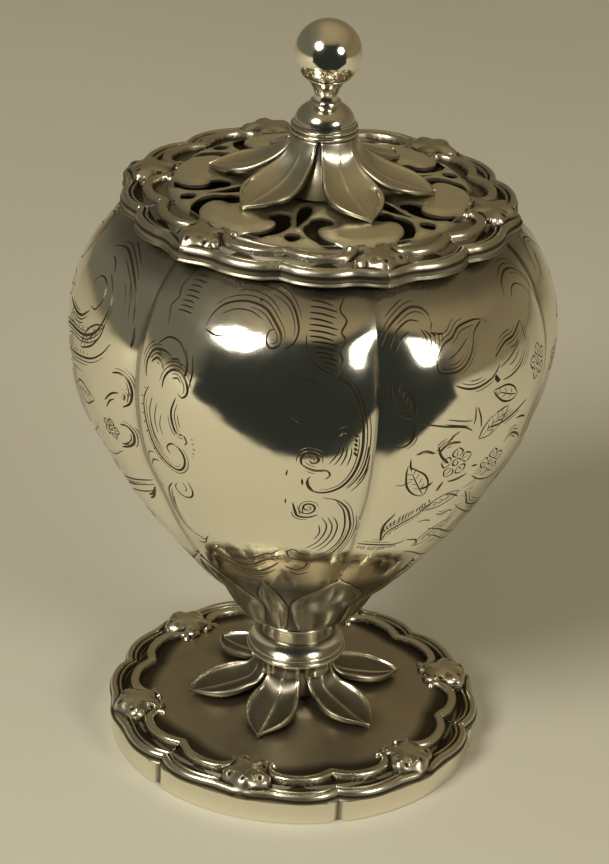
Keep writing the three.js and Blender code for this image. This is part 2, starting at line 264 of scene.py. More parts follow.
def paper(name, colour):
    """A matt pale surface with a faint mottle."""
    material, shader, nodes, links = new_material(name)
    shader.inputs["Roughness"].default_value = 0.75
    shader.inputs["Specular IOR Level"].default_value = 0.25
    where = nodes.new("ShaderNodeTexCoord").outputs["Object"]
    tint = nodes.new("ShaderNodeValToRGB")
    for stop, position, share in zip(tint.color_ramp.elements, (0.3, 0.7), (0.95, 1)):
        stop.position = position
        stop.color = (*[c * share for c in colour], 1)
    links.new(noise(nodes, links, where, 6, 5), tint.inputs["Fac"])
    links.new(tint.outputs["Color"], shader.inputs["Base Color"])
    return material


def unlit(name, colour):
    """A black surface with a faint even glow, which stands for an unlit part of the room."""
    material, shader, _, _ = new_material(name)
    shader.inputs["Base Color"].default_value = (0, 0, 0, 1)
    shader.inputs["Roughness"].default_value = 1
    shader.inputs["Specular IOR Level"].default_value = 0
    shader.inputs["Emission Color"].default_value = (*colour, 1)
    shader.inputs["Emission Strength"].default_value = 1
    return material


# ---- camera, floor and light ----

CAMERA_PLACE = (0.1241, -0.4905, 0.3353)
CAMERA_PITCH = 27.19  # degrees down
CAMERA_ROLL = 3.115
CAMERA_TURN = 14.2744  # degrees that the camera is turned about Z from looking along +Y
CAMERA_LENS = 106.975
FLOOR_REACH = 3
FLOOR_COLOUR = (0.62, 0.60, 0.495)
LAMP_COLOUR = (1, 0.95, 0.86)
LAMP_TARGET_HEIGHT = 0.09
UNLIT = (0.024, 0.027, 0.023)
FRONT = -70  # middle of the unlit part of the room, as an azimuth in degrees
DARK_NEAR, DARK_FAR = 0.150, 30  # where the unlit part begins and ends along the floor
DARK_HALF_TURN = 58
DARK_HEIGHT = 0.0015
COOL_WALL = (0.105, 0.112, 0.100)
# Colour of the room by height, from straight down (0) to straight up (1).
ROOM_STOPS = [
    (0.0, (0.20, 0.17, 0.11)),
    (0.5, (0.20, 0.165, 0.10)),
    (0.72, (0.17, 0.135, 0.08)),
    (1.0, (0.34, 0.28, 0.165)),
]


def make_camera():
    """A camera that looks down at the object, turned and slightly tilted as the photographer's was."""
    data = bpy.data.cameras.new("camera")
    data.lens = CAMERA_LENS
    data.sensor_width = 36
    data.clip_start = 0.01
    camera = bpy.data.objects.new("camera", data)
    bpy.context.scene.collection.objects.link(camera)
    turn = Matrix.Rotation(math.radians(CAMERA_TURN), 4, "Z")
    pitch = Matrix.Rotation(math.radians(90 - CAMERA_PITCH), 4, "X")
    roll = Matrix.Rotation(math.radians(CAMERA_ROLL), 4, "Z")
    pose = turn @ pitch @ roll
    pose.translation = CAMERA_PLACE
    camera.matrix_world = pose
    bpy.context.scene.camera = camera


def flat_mesh(name, corners, material, z=0):
    """One flat face of the room, with its corners in metres."""
    mesh = bpy.data.meshes.new(name)
    mesh.from_pydata([(x, y, z) for x, y in corners], [], [list(range(len(corners)))])
    mesh.materials.append(material)
    obj = bpy.data.objects.new(name, mesh)
    bpy.context.scene.collection.objects.link(obj)
    return obj


def lamp(name, azimuth, elevation, distance, size, power):
    """A soft round lamp that faces the object from a direction in degrees."""
    data = bpy.data.lights.new(name, "AREA")
    data.shape = "DISK"
    data.size = size
    data.energy = power
    data.color = LAMP_COLOUR
    obj = bpy.data.objects.new(name, data)
    bpy.context.scene.collection.objects.link(obj)
    x, y = polar(math.cos(math.radians(elevation)) * distance, azimuth)
    target = Vector((0, 0, LAMP_TARGET_HEIGHT))
    obj.location = Vector((x, y, math.sin(math.radians(elevation)) * distance)) + target
    obj.rotation_euler = (obj.location - target).to_track_quat("Z", "Y").to_euler()


def make_stage():
    reach = FLOOR_REACH
    corners = [(-reach, -reach), (reach, -reach), (reach, reach), (-reach, reach)]
    flat_mesh("floor", corners, paper("floor_paper", FLOOR_COLOUR))
    # Past this edge only the silver's reflections see that the room towards the viewer is dark.
    turns = np.linspace(-DARK_HALF_TURN, DARK_HALF_TURN, 31)
    inner = [polar(DARK_NEAR + 0.30 * abs(a / DARK_HALF_TURN) ** 3, FRONT + a) for a in turns]
    outer = [polar(DARK_FAR, FRONT + a) for a in turns[::-1]]
    dark = flat_mesh("dark_edge", inner + outer, unlit("dark_room", UNLIT), DARK_HEIGHT)
    dark.visible_camera = False
    dark.visible_diffuse = False
    dark.visible_shadow = False
    dark.visible_transmission = False

    lamp("lamp_left", -115.3, 37, 1.5, 0.62, 17)
    lamp("lamp_right", -29.3, 24, 1.6, 0.56, 9)


def leaning(nodes, links, direction, azimuth):
    """How nearly a direction points to an azimuth in degrees, up to 1."""
    node = nodes.new("ShaderNodeVectorMath")
    node.operation = "DOT_PRODUCT"
    links.new(direction, node.inputs[0])
    node.inputs[1].default_value = (*polar(1, azimuth), 0)
    return node.outputs["Value"]


def mixed(nodes, links, factor, first, colour):
    """The first colour, mixed towards a plain one."""
    mix = nodes.new("ShaderNodeMix")
    mix.data_type = "RGBA"
    links.new(factor, mix.inputs["Factor"])
    links.new(first, mix.inputs["A"])
    mix.inputs["B"].default_value = (*colour, 1)
    return mix.outputs["Result"]


def make_room():
    """A dim beige room with a brownish ceiling, and an unlit part where the viewer stands."""
    world = bpy.data.worlds.new("room")
    bpy.context.scene.world = world
    world.use_nodes = True
    nodes, links = world.node_tree.nodes, world.node_tree.links
    direction = nodes.new("ShaderNodeTexCoord").outputs["Generated"]
    split = nodes.new("ShaderNodeSeparateXYZ")
    links.new(direction, split.inputs[0])
    height = nodes.new("ShaderNodeValToRGB")
    ramp = height.color_ramp
    (_, first), *between, (_, last) = ROOM_STOPS
    ramp.elements[0].color = (*first, 1)
    ramp.elements[1].color = (*last, 1)
    for position, colour in between:
        ramp.elements.new(position).color = (*colour, 1)
    links.new(ranged(nodes, links, split.outputs["Z"], (-1, 1)), height.inputs["Fac"])

    # The wall on the left is cooler and dimmer than the rest.
    left = leaning(nodes, links, direction, FRONT - 100)
    side = ranged(nodes, links, left, (0.10, 0.75), (0, 0.7), "SMOOTHSTEP")
    walls = mixed(nodes, links, side, height.outputs["Color"], COOL_WALL)

    facing = ranged(nodes, links, leaning(nodes, links, direction, FRONT), (0.42, 0.60), kind="SMOOTHSTEP")
    low = ranged(nodes, links, split.outputs["Z"], (0.80, 0.62), kind="SMOOTHSTEP")
    dark = arithmetic(nodes, links, "MULTIPLY", facing, low)
    background = nodes["Background"]
    links.new(mixed(nodes, links, dark, walls, UNLIT), background.inputs["Color"])
    background.inputs["Strength"].default_value = 1.0


make_camera()
make_stage()
make_room()


# ---- the body ----

# Outside of the body over a lobe, as [radius, z].
BODY_OUTSIDE = [
    (9.4, 30.3), (13.8, 32.5), (18.7, 40.3), (25, 46.8), (31.4, 54.6), (39, 65), (44.8, 75.4),
    (50, 85.8), (52.5, 96.2), (52.9, 105.3), (51.4, 113.1), (48.4, 119.6), (43.6, 124.8), (38.9, 128.6),
]
SHEET = 0.8
MOUTH_RADIUS = 38.3
BODY_TOP = 131
CREASE_DEPTH = 2.3
# Raised petals at the bottom of the body, as [height, half width in degrees]: broad ones on the creases and
# narrow ones between.
BROAD_PETAL = [(33, 15), (37, 19), (41, 21), (45, 19.6), (49, 15.2), (52.5, 8), (56, 0)]
NARROW_PETAL = [(33, 5.5), (37, 7), (41, 8.2), (45, 7.6), (49, 5.2), (52, 2.6), (55, 0)]
PETAL_RISE = 0.5

body_route = spline(BODY_OUTSIDE, 0.25)
body_length = np.concatenate([[0], np.cumsum(np.hypot(*np.diff(body_route, axis=0).T))])


def along_at(z):
    """How far along the profile a height lies."""
    return np.interp(z, body_route[:, 1], body_length)


def petal_rise(degrees, z):
    """0 between the petals at the bottom of the body, and 1 along the middle of each."""
    crease = from_notch(degrees)
    rise = 0
    for petal, across in ((BROAD_PETAL, crease), (NARROW_PETAL, LOBE_DEG / 2 - crease)):
        half = np.interp(z, [h for h, _ in petal], [w for _, w in petal])
        rise = np.maximum(rise, np.clip(1 - (across / np.maximum(half, 0.01)) ** 2, 0, 1))
    return rise


def body_point(degrees, along, inside=0.0):
    """A point on the lobed body, from a direction and a length along the profile."""
    radius = np.interp(along, body_length, body_route[:, 0])
    z = np.interp(along, body_length, body_route[:, 1])
    ahead = np.clip(along + 0.3, 0, body_length[-1])
    behind = np.clip(along - 0.3, 0, body_length[-1])
    dr = np.interp(ahead, body_length, body_route[:, 0]) - np.interp(behind, body_length, body_route[:, 0])
    dz = np.interp(ahead, body_length, body_route[:, 1]) - np.interp(behind, body_length, body_route[:, 1])
    size = np.maximum(np.hypot(dr, dz), 1e-9)
    depth = CREASE_DEPTH * smooth(z, 36, 80) * (1 - smooth(z, 116, 128)) * smooth(radius, 12, 20)
    radius = radius - depth * (1 - from_notch(degrees) / (LOBE_DEG / 2)) ** 4
    radius = radius + PETAL_RISE * petal_rise(degrees, z) ** 0.7
    radius = radius - inside * dz / size
    z = z + inside * dr / size
    x, y = polar(radius, degrees)
    return np.stack([x, y, z], -1)


def body_normal(degrees, along, lobe_side):
    """The outward direction. lobe_side nudges a point on a crease to the lobe that it is seen from."""
    e = 0.05
    at = degrees + lobe_side * 0.06
    across = body_point(at + e, along) - body_point(at - e, along)
    up = body_point(at, np.clip(along + e, 0, body_length[-1])) - body_point(
        at, np.clip(along - e, 0, body_length[-1])
    )
    normal = np.cross(across, up)
    return normal / np.linalg.norm(normal, axis=-1, keepdims=True)


# ---- the engraving ----
# Each panel lies between two creases. A cut is a list of points [degrees from the panel's middle, height],
# with a width. All of it is plain scroll and leaf work.

ROUND_MM = 50 * math.pi / 180  # millimetres to one degree on the flattened panel
PANEL_EDGE = LOBE_DEG / 2


def spiral(degrees, z, size, start, turns):
    """A scroll's eye. A negative number of turns winds the other way."""
    a = np.radians(start + 360 * turns * np.linspace(0, 1, max(6, int(abs(turns) * 10))))
    shrink = np.linspace(1, 0.25, len(a)) * size
    return [(degrees + s * math.cos(t) / ROUND_MM, z + s * math.sin(t)) for s, t in zip(shrink, a)]


def ticks(line, count, length, lean, width, share=(0.08, 0.92)):
    """Short cuts that stand along a line. lean is the turn in degrees from the line's direction."""
    path = spline([(d * ROUND_MM, z) for d, z in line], 0.4)
    out = []
    for t in np.linspace(share[0], share[1], count):
        i = int(t * (len(path) - 2))
        way = path[i + 1] - path[i]
        way = way / np.linalg.norm(way)
        a = math.radians(lean)
        turned = np.array(Matrix.Rotation(a, 2) @ Vector(way))
        size = length * (0.55 + 0.45 * math.sin(math.pi * t)) * rng.uniform(0.85, 1.15)
        ends = [path[i] + turned * 0.35, path[i] + turned * (0.35 + size * 0.5), path[i] + turned * size]
        bow = np.array([-turned[1], turned[0]]) * size * 0.08
        ends[1] = ends[1] + bow
        out.append(([(e[0] / ROUND_MM, e[1]) for e in ends], width))
    return out


def leaf_cuts(root, tip, spread, veins, width=0.4):
    """A leaf drawn with two sides, a midrib and slanting veins."""
    root, tip = np.array(root, float), np.array(tip, float)
    way = tip - root
    side = np.array([-way[1] / ROUND_MM, way[0] * ROUND_MM])
    side = side / np.hypot(side[0] * ROUND_MM, side[1]) * spread

    def at(t, s):
        return tuple(root + way * t + side * s)

    out = [
        ([at(0, 0), at(0.2, 0.75), at(0.5, 1), at(0.8, 0.55), at(1, 0)], width),
        ([at(0, 0), at(0.25, -0.8), at(0.55, -0.95), at(0.85, -0.35), at(1, 0)], width * 0.9),
        ([at(0.02, 0), at(0.4, 0.08), at(0.8, 0.02)], width * 0.6),
    ]
    for t in np.linspace(0.25, 0.72, veins):
        out.append(([at(t, 0.05), at(t + 0.08, 0.35), at(t + 0.12, 0.6)], width * 0.45))
        out.append(([at(t, -0.05), at(t + 0.08, -0.35), at(t + 0.12, -0.6)], width * 0.45))
    return out


def shaded(cuts):
    """The cuts with fine lines beside the bold ones, on one side or on both."""
    out = list(cuts)
    for line, width in cuts:
        if width < 0.44 or len(line) < 4:
            continue
        path = spline([(d * ROUND_MM, z) for d, z in line], 1.2)
        way = np.gradient(path, axis=0)
        way /= np.maximum(np.linalg.norm(way, axis=1, keepdims=True), 1e-9)
        side = np.stack([-way[:, 1], way[:, 0]], -1)
        for offset, start, end in ((0.85, 0.10, 0.72), (1.6, 0.25, 0.6), (-0.8, 0.35, 0.85)):
            first, last = int(start * len(path)), int(end * len(path))
            if last - first < 3:
                continue
            run = (path + side * offset)[first:last]
            out.append(([(x / ROUND_MM, z) for x, z in run], width * 0.42))
    return out


def flower(middle, z, size, lean, reach, spread):
    """Five petals round a curl. reach and spread are shares of the flower's size."""
    cuts = [(spiral(middle, z, size * 0.4, 0, 1.2), 0.35)]
    for turn in range(5):
        a = math.radians(turn * 72 + lean)
        way = (math.cos(a) / ROUND_MM, math.sin(a))
        root, tip = [(middle + far * way[0], z + far * way[1]) for far in (size * 0.45, size * reach)]
        cuts += leaf_cuts(root, tip, size * spread, 0, 0.35)
    return cuts


def lotus():
    """The outlines of the petals at the bottom of the body, with a midrib in each narrow one."""
    out = []
    for side in (-1, 1):
        broad = [(side * (PANEL_EDGE - half), z) for z, half in BROAD_PETAL[:-1]]
        out.append((broad + [(side * PANEL_EDGE, BROAD_PETAL[-1][0])], 0.5))
        inner = [(side * (PANEL_EDGE - 0.78 * half), z - 1) for z, half in BROAD_PETAL[1:-1]]
        out.append((inner, 0.25))
        out.append(([(side * half, z) for z, half in NARROW_PETAL], 0.45))
        out.append(([(side * 0.66 * half, z - 0.8) for z, half in NARROW_PETAL[1:-1]], 0.22))
    out.append(([(0, 36), (0, 44), (0, 52)], 0.3))
    return out


def scroll_panel():
    """A plain field framed by C-scrolls, with rocaille above it and leaves below it."""
    left_outer = [
        (-24.7, 104.8), (-26.4, 101.4), (-26.3, 97.6), (-25.3, 93.8), (-23.2, 90), (-20.3, 87.9),
        (-17.1, 87.1), (-15, 88.6), (-14.5, 91), (-15.8, 93.1), (-17.9, 93.6), (-19.4, 92.2), (-18.4, 90.6),
    ]
    left_inner = [
        (-16.3, 105), (-17.5, 101.4), (-17.1, 98.6), (-16.1, 96.7), (-14.2, 96.6), (-13.5, 95.2),
        (-14.4, 94.2),
    ]
    right_outer = [
        (19.9, 113.8), (22.8, 112.4), (24.7, 109.6), (26.2, 105.2), (26.8, 100.5), (26.5, 95.7), (24.9, 91.4),
        (22.1, 88.6), (18.4, 87.6), (15.6, 88.4), (14.6, 90.4), (15.4, 92),
    ]
    low_right = [
        (18.4, 86.2), (22, 85.2), (24.9, 82.4), (26.7, 78.1), (27.3, 75.2), (26.5, 71.4), (23.6, 67.6),
        (19.4, 65.7), (14.2, 65.2), (10.9, 66.2), (10.1, 68), (12.1, 69), (13.8, 67.8), (15.8, 67.4),
    ]
    low_right_inner = [
        (22, 84.9), (24, 82.2), (25.2, 78.6), (25.6, 75), (24.8, 71.4), (22, 68.4), (18.6, 66.9),
    ]
    low_left = [
        (-20.6, 82.2), (-23.7, 79), (-25.5, 75.2), (-25.8, 71.9), (-24.2, 68.6), (-21, 66.7), (-17.6, 66.4),
    ]
    crown = [
        (-12.1, 119.8), (-11.6, 122), (-9.4, 123.9), (-5.5, 124.9), (-1.5, 125), (2.1, 124.3), (4.8, 122.6),
        (6.6, 120.8), (6.4, 119), (4.6, 118.4), (3.3, 119.6), (3.8, 121.3), (5.2, 121.4),
    ]
    cuts = [
        (left_outer, 0.5), (left_inner, 0.45), (right_outer, 0.55), (low_right, 0.55), (low_right_inner, 0.4),
        (low_left, 0.5), (crown, 0.5),
        ([(-22.6, 78.6), (-24, 75), (-24, 71.6), (-22.4, 69)], 0.3),
        ([(-23.3, 103), (-24.3, 99), (-23.4, 94.5), (-20.6, 90.8)], 0.3),
        ([(-21.8, 102), (-22.6, 98), (-21.8, 94.4)], 0.25),
        ([(-20.4, 100), (-21, 97), (-20.2, 94.6)], 0.2),
        ([(-26, 106), (-26.3, 109.5), (-24.8, 112.3), (-22, 113.2), (-19.5, 112.8), (-18, 111.3)], 0.5),
        ([(-25, 109.6), (-23.3, 111.2), (-21.4, 110.7), (-20.6, 109.3)], 0.5),
        ([(-24, 113.8), (-21, 116), (-17.5, 115.8), (-15, 113.5)], 0.35),
        ([(-20.5, 105.5), (-19.9, 108.4), (-18, 110.3), (-15.6, 110.2), (-13.8, 108.4), (-13.5, 106.4),
          (-14.8, 105.2), (-16.2, 106)], 0.5),
        ([(-18, 108.4), (-16.4, 109), (-15.2, 108)], 0.35),
        ([(-19.4, 112), (-17, 112.6), (-15.6, 111)], 0.4),
        ([(-15.9, 115.3), (-14.4, 112), (-14.7, 109)], 0.5),
        ([(-13.6, 114.5), (-12.8, 111), (-13.2, 107.6)], 0.35),
        ([(-23.2, 128), (-22.6, 126.5), (-23.6, 124.8), (-22.8, 122.8), (-23.8, 121.2), (-22.9, 119.6),
          (-22.6, 118)], 0.35),
        ([(-7, 127.4), (0, 127.7), (5.8, 126.7), (9, 125), (10.7, 122), (9.8, 119.6), (7.4, 118.3)], 0.45),
        ([(-12.3, 119.6), (-9, 118.9), (-6, 119.4)], 0.35),
        ([(-9.4, 122.4), (-6, 123.6), (-2, 123.7), (1.5, 122.8)], 0.25),
        ([(22.5, 127), (21, 125), (22.6, 123.4), (21.2, 121.6), (22.3, 120.2), (20.8, 118.4),
          (21.4, 116.6), (19.9, 113.8)], 0.4),
        ([(12.6, 121.4), (13.2, 118.4), (15.6, 115.8), (19.9, 113.8)], 0.35),
        ([(28.3, 98.4), (28, 94.6), (26.6, 91), (23.8, 88)], 0.4),
        ([(28.9, 96.6), (28.3, 92.4), (26.2, 89)], 0.35),
        ([(29.1, 93.4), (27.6, 89.8), (25, 87.2)], 0.3),
        ([(19.2, 94.9), (20.9, 97.2), (21.6, 99.8)], 0.3),
        ([(20.4, 94.5), (22, 97), (22.4, 99.6)], 0.3),
        ([(21.9, 94.2), (23, 96.8), (23.2, 99.4)], 0.3),
        ([(23.4, 94), (24.2, 96.8), (24.2, 98.8)], 0.25),
        ([(21, 101.2), (21.8, 102.2), (23, 102), (23.6, 100.8)], 0.4),
        ([(21.2, 103.2), (22.6, 103.8), (24, 102.8)], 0.35),
        ([(13.4, 94.5), (13.1, 96.2), (14.5, 97.4), (16.6, 96.8), (16.9, 95.6), (15.6, 95.2),
          (14.9, 96)], 0.55),
        ([(13.2, 95), (14.6, 94), (16.6, 93.4), (18.6, 93.6)], 0.5),
        ([(17.4, 93), (18.9, 93.4), (19.8, 92.2), (18.6, 91)], 0.35),
        ([(14.8, 91.4), (15, 89.6), (16.2, 88.1)], 0.45),
        ([(13.5, 91.4), (13.7, 89.4)], 0.4),
        ([(10.2, 93.4), (9.9, 91.6)], 0.3),
        ([(10, 85.6), (9.8, 84)], 0.3),
        ([(11.6, 84.6), (12.2, 82), (12.9, 80.4), (15.5, 80.1), (18, 80.9)], 0.55),
        (spiral(15.2, 83.1, 2.1, 200, 1.25), 0.45),
        ([(18.8, 80), (20.4, 77.5), (20.2, 74.5), (18.4, 71.6), (15.2, 69.4)], 0.35),
        ([(20.4, 80), (22, 76.8), (21.6, 73.4), (19.6, 70.8), (16.6, 68.9)], 0.35),
        ([(21.8, 80.2), (23.4, 77), (23.1, 73.4), (21.4, 70.6), (18.6, 68.5)], 0.35),
        ([(18.4, 77.6), (18.8, 74.8), (17.4, 72.4)], 0.3),
        ([(-14.9, 84.6), (-14.2, 82.4), (-15, 80.2), (-17, 79.2), (-19, 79.4), (-19.9, 81.2),
          (-18.6, 83)], 0.4),
        ([(-16.6, 84), (-16, 82.2), (-17, 80.8)], 0.25),
        ([(-27.6, 84), (-25.8, 86.4), (-23.2, 87.2)], 0.35),
        ([(-28.2, 85.6), (-27, 88), (-24.6, 88.8)], 0.3),
        ([(-21, 63.8), (-17.5, 64.8), (-15.6, 67.2)], 0.35),
        ([(-19, 66), (-16.6, 66.2), (-14.6, 68)], 0.3),
        ([(-14.8, 62.8), (-12.6, 64.8), (-10.2, 64.8), (-8.9, 63.4), (-10.2, 62.6)], 0.45),
        ([(-17.5, 62.9), (-14, 62.6), (-10.5, 61.6), (-6, 60.8), (-1.5, 61.4), (2, 63.4), (4.6, 64.6),
          (7, 64.2)], 0.8),
        ([(-16, 61.2), (-11, 59.4), (-5.5, 58.6), (0, 59), (4.5, 61.4), (7.3, 63.8)], 0.75),
        ([(-6, 62.6), (-2, 63.6), (1.6, 65.4), (4.6, 67)], 0.5),
        ([(-13.5, 58.2), (-8.5, 56.9), (-3, 56.8), (2, 58.2), (6, 60.6)], 0.7),
        ([(9, 62.5), (12.5, 61.3), (15.5, 62.4), (16.2, 64.2), (14.8, 64.9)], 0.7),
        ([(10.5, 60.4), (13.8, 59.4), (17, 60.6)], 0.5),
        ([(-18, 60.4), (-15.6, 58.8), (-13.2, 58.6)], 0.5),
        ([(3, 65.8), (5.5, 66.8), (8, 68.6)], 0.4),
        ([(4.6, 65.2), (7, 66), (9.2, 66.6)], 0.35),
        ([(8.6, 112.8), (13, 113.2), (17, 112), (19.6, 110.6)], 0.25),
        ([(10.4, 105.6), (12.2, 104.4), (13, 102.2)], 0.2),
    ]
    for i, z in enumerate(np.linspace(127.6, 121, 9)):
        cuts.append(([(-21.6 + 0.3 * (i % 2), z), (-19.5, z + 0.25), (-17.4 + 0.4 * (i % 3), z + 0.2)], 0.3))
    for i, z in enumerate(np.linspace(127.8, 115.4, 15)):
        start = 12.8 + max(0, 121 - z) * 0.75
        end = 20.6 - 0.5 * (i % 3)
        cuts.append(([(start, z + 0.3), ((start + end) / 2, z + 0.1), (end, z - 0.5)], 0.35))
    for z in np.linspace(104.4, 97, 8):
        cuts.append(([(24.7, z + 0.5), (25.2, z), (25.5, z - 0.5)], 0.5))
    cuts = shaded(cuts)
    cuts += ticks(left_outer[:6], 9, 1.3, -70, 0.25)
    cuts += ticks(low_left[1:6], 8, 1.2, 65, 0.25)
    cuts += ticks([(-12.8, 97), (-12.5, 94), (-13, 91)], 5, 1.0, 60, 0.3)
    return cuts + lotus()


def flower_panel():
    """Open leaves above, and flowers among sprays of leaves below."""
    cuts = [
        ([(-29, 118.6), (-26.4, 122.2), (-21, 124.6), (-17, 124.4), (-15.2, 122.6), (-16.4, 120.6)], 0.5),
        ([(-27.2, 118), (-25, 121.2), (-21.4, 122.8), (-18.4, 122.4)], 0.35),
        ([(-25.6, 117.6), (-24, 120), (-21.6, 121.2)], 0.3),
        ([(-16, 115.7), (-13.6, 118.1), (-11, 119), (-8.3, 120.5), (-3.6, 120.9), (-0.5, 120.5)], 0.45),
        ([(-16.2, 115.4), (-15.7, 113.1), (-12, 112.5), (-8.9, 113.3), (-6.2, 115.7), (-4.1, 119),
          (-0.8, 120.5)], 0.45),
        ([(-13.6, 115), (-10.4, 116.2), (-6.6, 118.4)], 0.25),
        ([(-12, 109.9), (-8.6, 108.6), (-5.7, 108.3), (-2.6, 108.8), (-0.5, 109.6), (2, 111.6)], 0.45),
        ([(0, 112.9), (4.3, 115), (7.9, 115.5), (11.6, 117.1), (12.4, 117.6)], 0.5),
        ([(12.4, 117.4), (12.2, 112.9), (9.5, 109.5), (5.8, 108.1), (2.2, 107.8)], 0.45),
        ([(1.6, 110.6), (5.6, 111.8), (10.4, 114.2)], 0.3),
        ([(4.8, 110.2), (7, 110.8), (9.6, 112.4)], 0.25),
        ([(6, 113.6), (8, 113.6), (10, 114.8)], 0.25),
        ([(-19.9, 102.9), (-14, 101.4), (-9, 100.2), (-6.2, 98.6)], 0.4),
        ([(-14.6, 102), (-10.5, 100.9), (-7.4, 100.1)], 0.25),
        ([(-14, 103), (-9.8, 101.8), (-6.4, 101.1)], 0.25),
        ([(-6.2, 104.4), (-6, 101.6), (-6.4, 100)], 0.3),
        ([(-5.6, 104.2), (-4.4, 101.4), (-3.8, 98.6)], 0.35),
        ([(-26, 97.6), (-23.6, 97.9), (-21.9, 99.6), (-21.6, 103)], 0.5),
        ([(-20.7, 95.5), (-18.4, 96.2), (-15.7, 95.2)], 0.6),
        ([(-14.9, 95), (-13.6, 96.6), (-11.5, 97.1), (-8.9, 96.6)], 0.6),
        ([(-15.4, 97.1), (-14, 94.2), (-11.5, 91.9)], 0.5),
        ([(-13.1, 97.1), (-11.6, 98.8), (-9.9, 99.5)], 0.45),
        ([(-21.6, 94.8), (-21.4, 92.8), (-20.7, 91.4)], 0.35),
        ([(-24.4, 88), (-22.4, 88), (-20.2, 89)], 0.25),
        ([(-18.3, 86.4), (-16.4, 86.6), (-14.4, 87.8)], 0.6),
        ([(-10.4, 86.8), (-7.6, 86.8), (-4.4, 87.6)], 0.6),
        ([(-12.6, 84.4), (-12.2, 86), (-11.5, 87.2)], 0.6),
        ([(-4.1, 89.2), (-1.6, 88.9)], 0.5),
        ([(-1.5, 98.1), (1.6, 97.9), (4.8, 98.2), (9, 99.2), (13, 100.4)], 0.5),
        ([(9, 96.9), (11.4, 96.6), (14, 95.6)], 0.45),
        ([(6, 91.8), (7.4, 93), (9, 93.4), (12.1, 91.9), (14, 90.2)], 0.5),
        ([(-2.6, 86.2), (1.6, 83.8), (6.9, 82.4), (10.4, 83.2), (12, 85.6)], 0.4),
        ([(-9.5, 82.8), (-6.8, 82.2), (-4.4, 80.9), (-3, 80.2)], 0.4),
        ([(-21.5, 79.4), (-23.3, 75.2), (-22.5, 70.2)], 0.6),
        ([(-22.4, 70.2), (-21.5, 73.3), (-18.8, 75.4), (-15, 78), (-11.6, 81.6)], 0.45),
        ([(-13.6, 75), (-11, 75.1), (-8.4, 74.2)], 0.35),
        ([(-8, 76.2), (-6, 75.6), (-3, 75.9), (-1.4, 75)], 0.45),
        ([(-1.6, 81.4), (0.6, 79.2), (4.8, 75.2), (11.7, 72.6), (18.5, 70.3), (24, 69)], 0.5),
        ([(-2.2, 77.4), (2, 74.6), (8, 71.6), (15, 69), (22, 67.4)], 0.3),
        ([(-8, 71.6), (-2, 69.6), (4, 66.8), (10, 64.8), (17, 63.6)], 0.4),
        ([(-7, 69.4), (-1, 67), (5, 64.2), (12, 62.2)], 0.3),
        ([(-12, 65), (-6, 62.8), (0, 60.2), (6, 58.4)], 0.4),
        ([(-14, 69.4), (-10, 68.4), (-8.2, 66.2)], 0.45),
        ([(-29.2, 69.6), (-24, 69.2), (-18, 68.6), (-14, 69.2)], 0.5),
        ([(10.6, 122), (13.4, 124.2), (18, 125.2), (22.6, 124.4), (25.4, 121.6), (26.4, 117),
          (25.4, 113)], 0.45),
        ([(13, 121.4), (16.6, 122.8), (20.4, 122), (22.4, 119)], 0.3),
    ]
    for i in range(5):  # nested arcs beside the corner leaf
        reach = 0.6 + 1.2 * i
        high, low = 121.4 - 0.3 * i, 117.2 + 0.35 * i
        route = [(-19.4 + reach * 0.8, high), (-18.4 + reach, (high + low) / 2 + 0.4), (-19 + reach, low)]
        cuts.append((route, 0.36))
    cuts = shaded(cuts)
    cuts += ticks([(-22.3, 71), (-21.2, 74), (-18.6, 76.2), (-14.8, 78.8), (-11.8, 82)], 15, 2.6, 55, 0.3)
    cuts += ticks([(-22.3, 71), (-21.2, 73.6), (-18.6, 75.4)], 6, 1.6, -60, 0.25)
    cuts += ticks([(-28.6, 69.3), (-22, 68.8), (-15, 69)], 12, 2.0, -120, 0.3)
    for middle, z, size in ((-9.4, 91.6, 3.1), (3.2, 88, 2.9), (17.5, 79.5, 2.8), (18, 107, 3.2)):
        cuts += flower(middle, z, size, 20, 1.25, 0.42)
    for root, tip, spread, veins in (
        ((12, 76), (22.5, 87), 2.6, 4),
        ((15, 90), (26, 99), 2.8, 4),
        ((8, 103), (-1, 106.4), 1.8, 3),
        ((20, 75), (27.5, 77.4), 1.8, 3),
        ((-16, 84), (-22, 93), 2.2, 4),
        ((-4, 96), (5, 101.5), 2.0, 4),
        ((4, 66.5), (15, 74), 2.2, 5),
        ((-10, 66), (0, 72.5), 2.0, 5),
        ((10, 61.5), (21, 66), 1.8, 4),
        ((-4, 82.5), (-15, 79), 1.8, 4),
        ((-22, 104), (-27, 112), 2.0, 4),
    ):
        cuts += leaf_cuts(root, tip, spread, veins)
    return cuts + lotus()


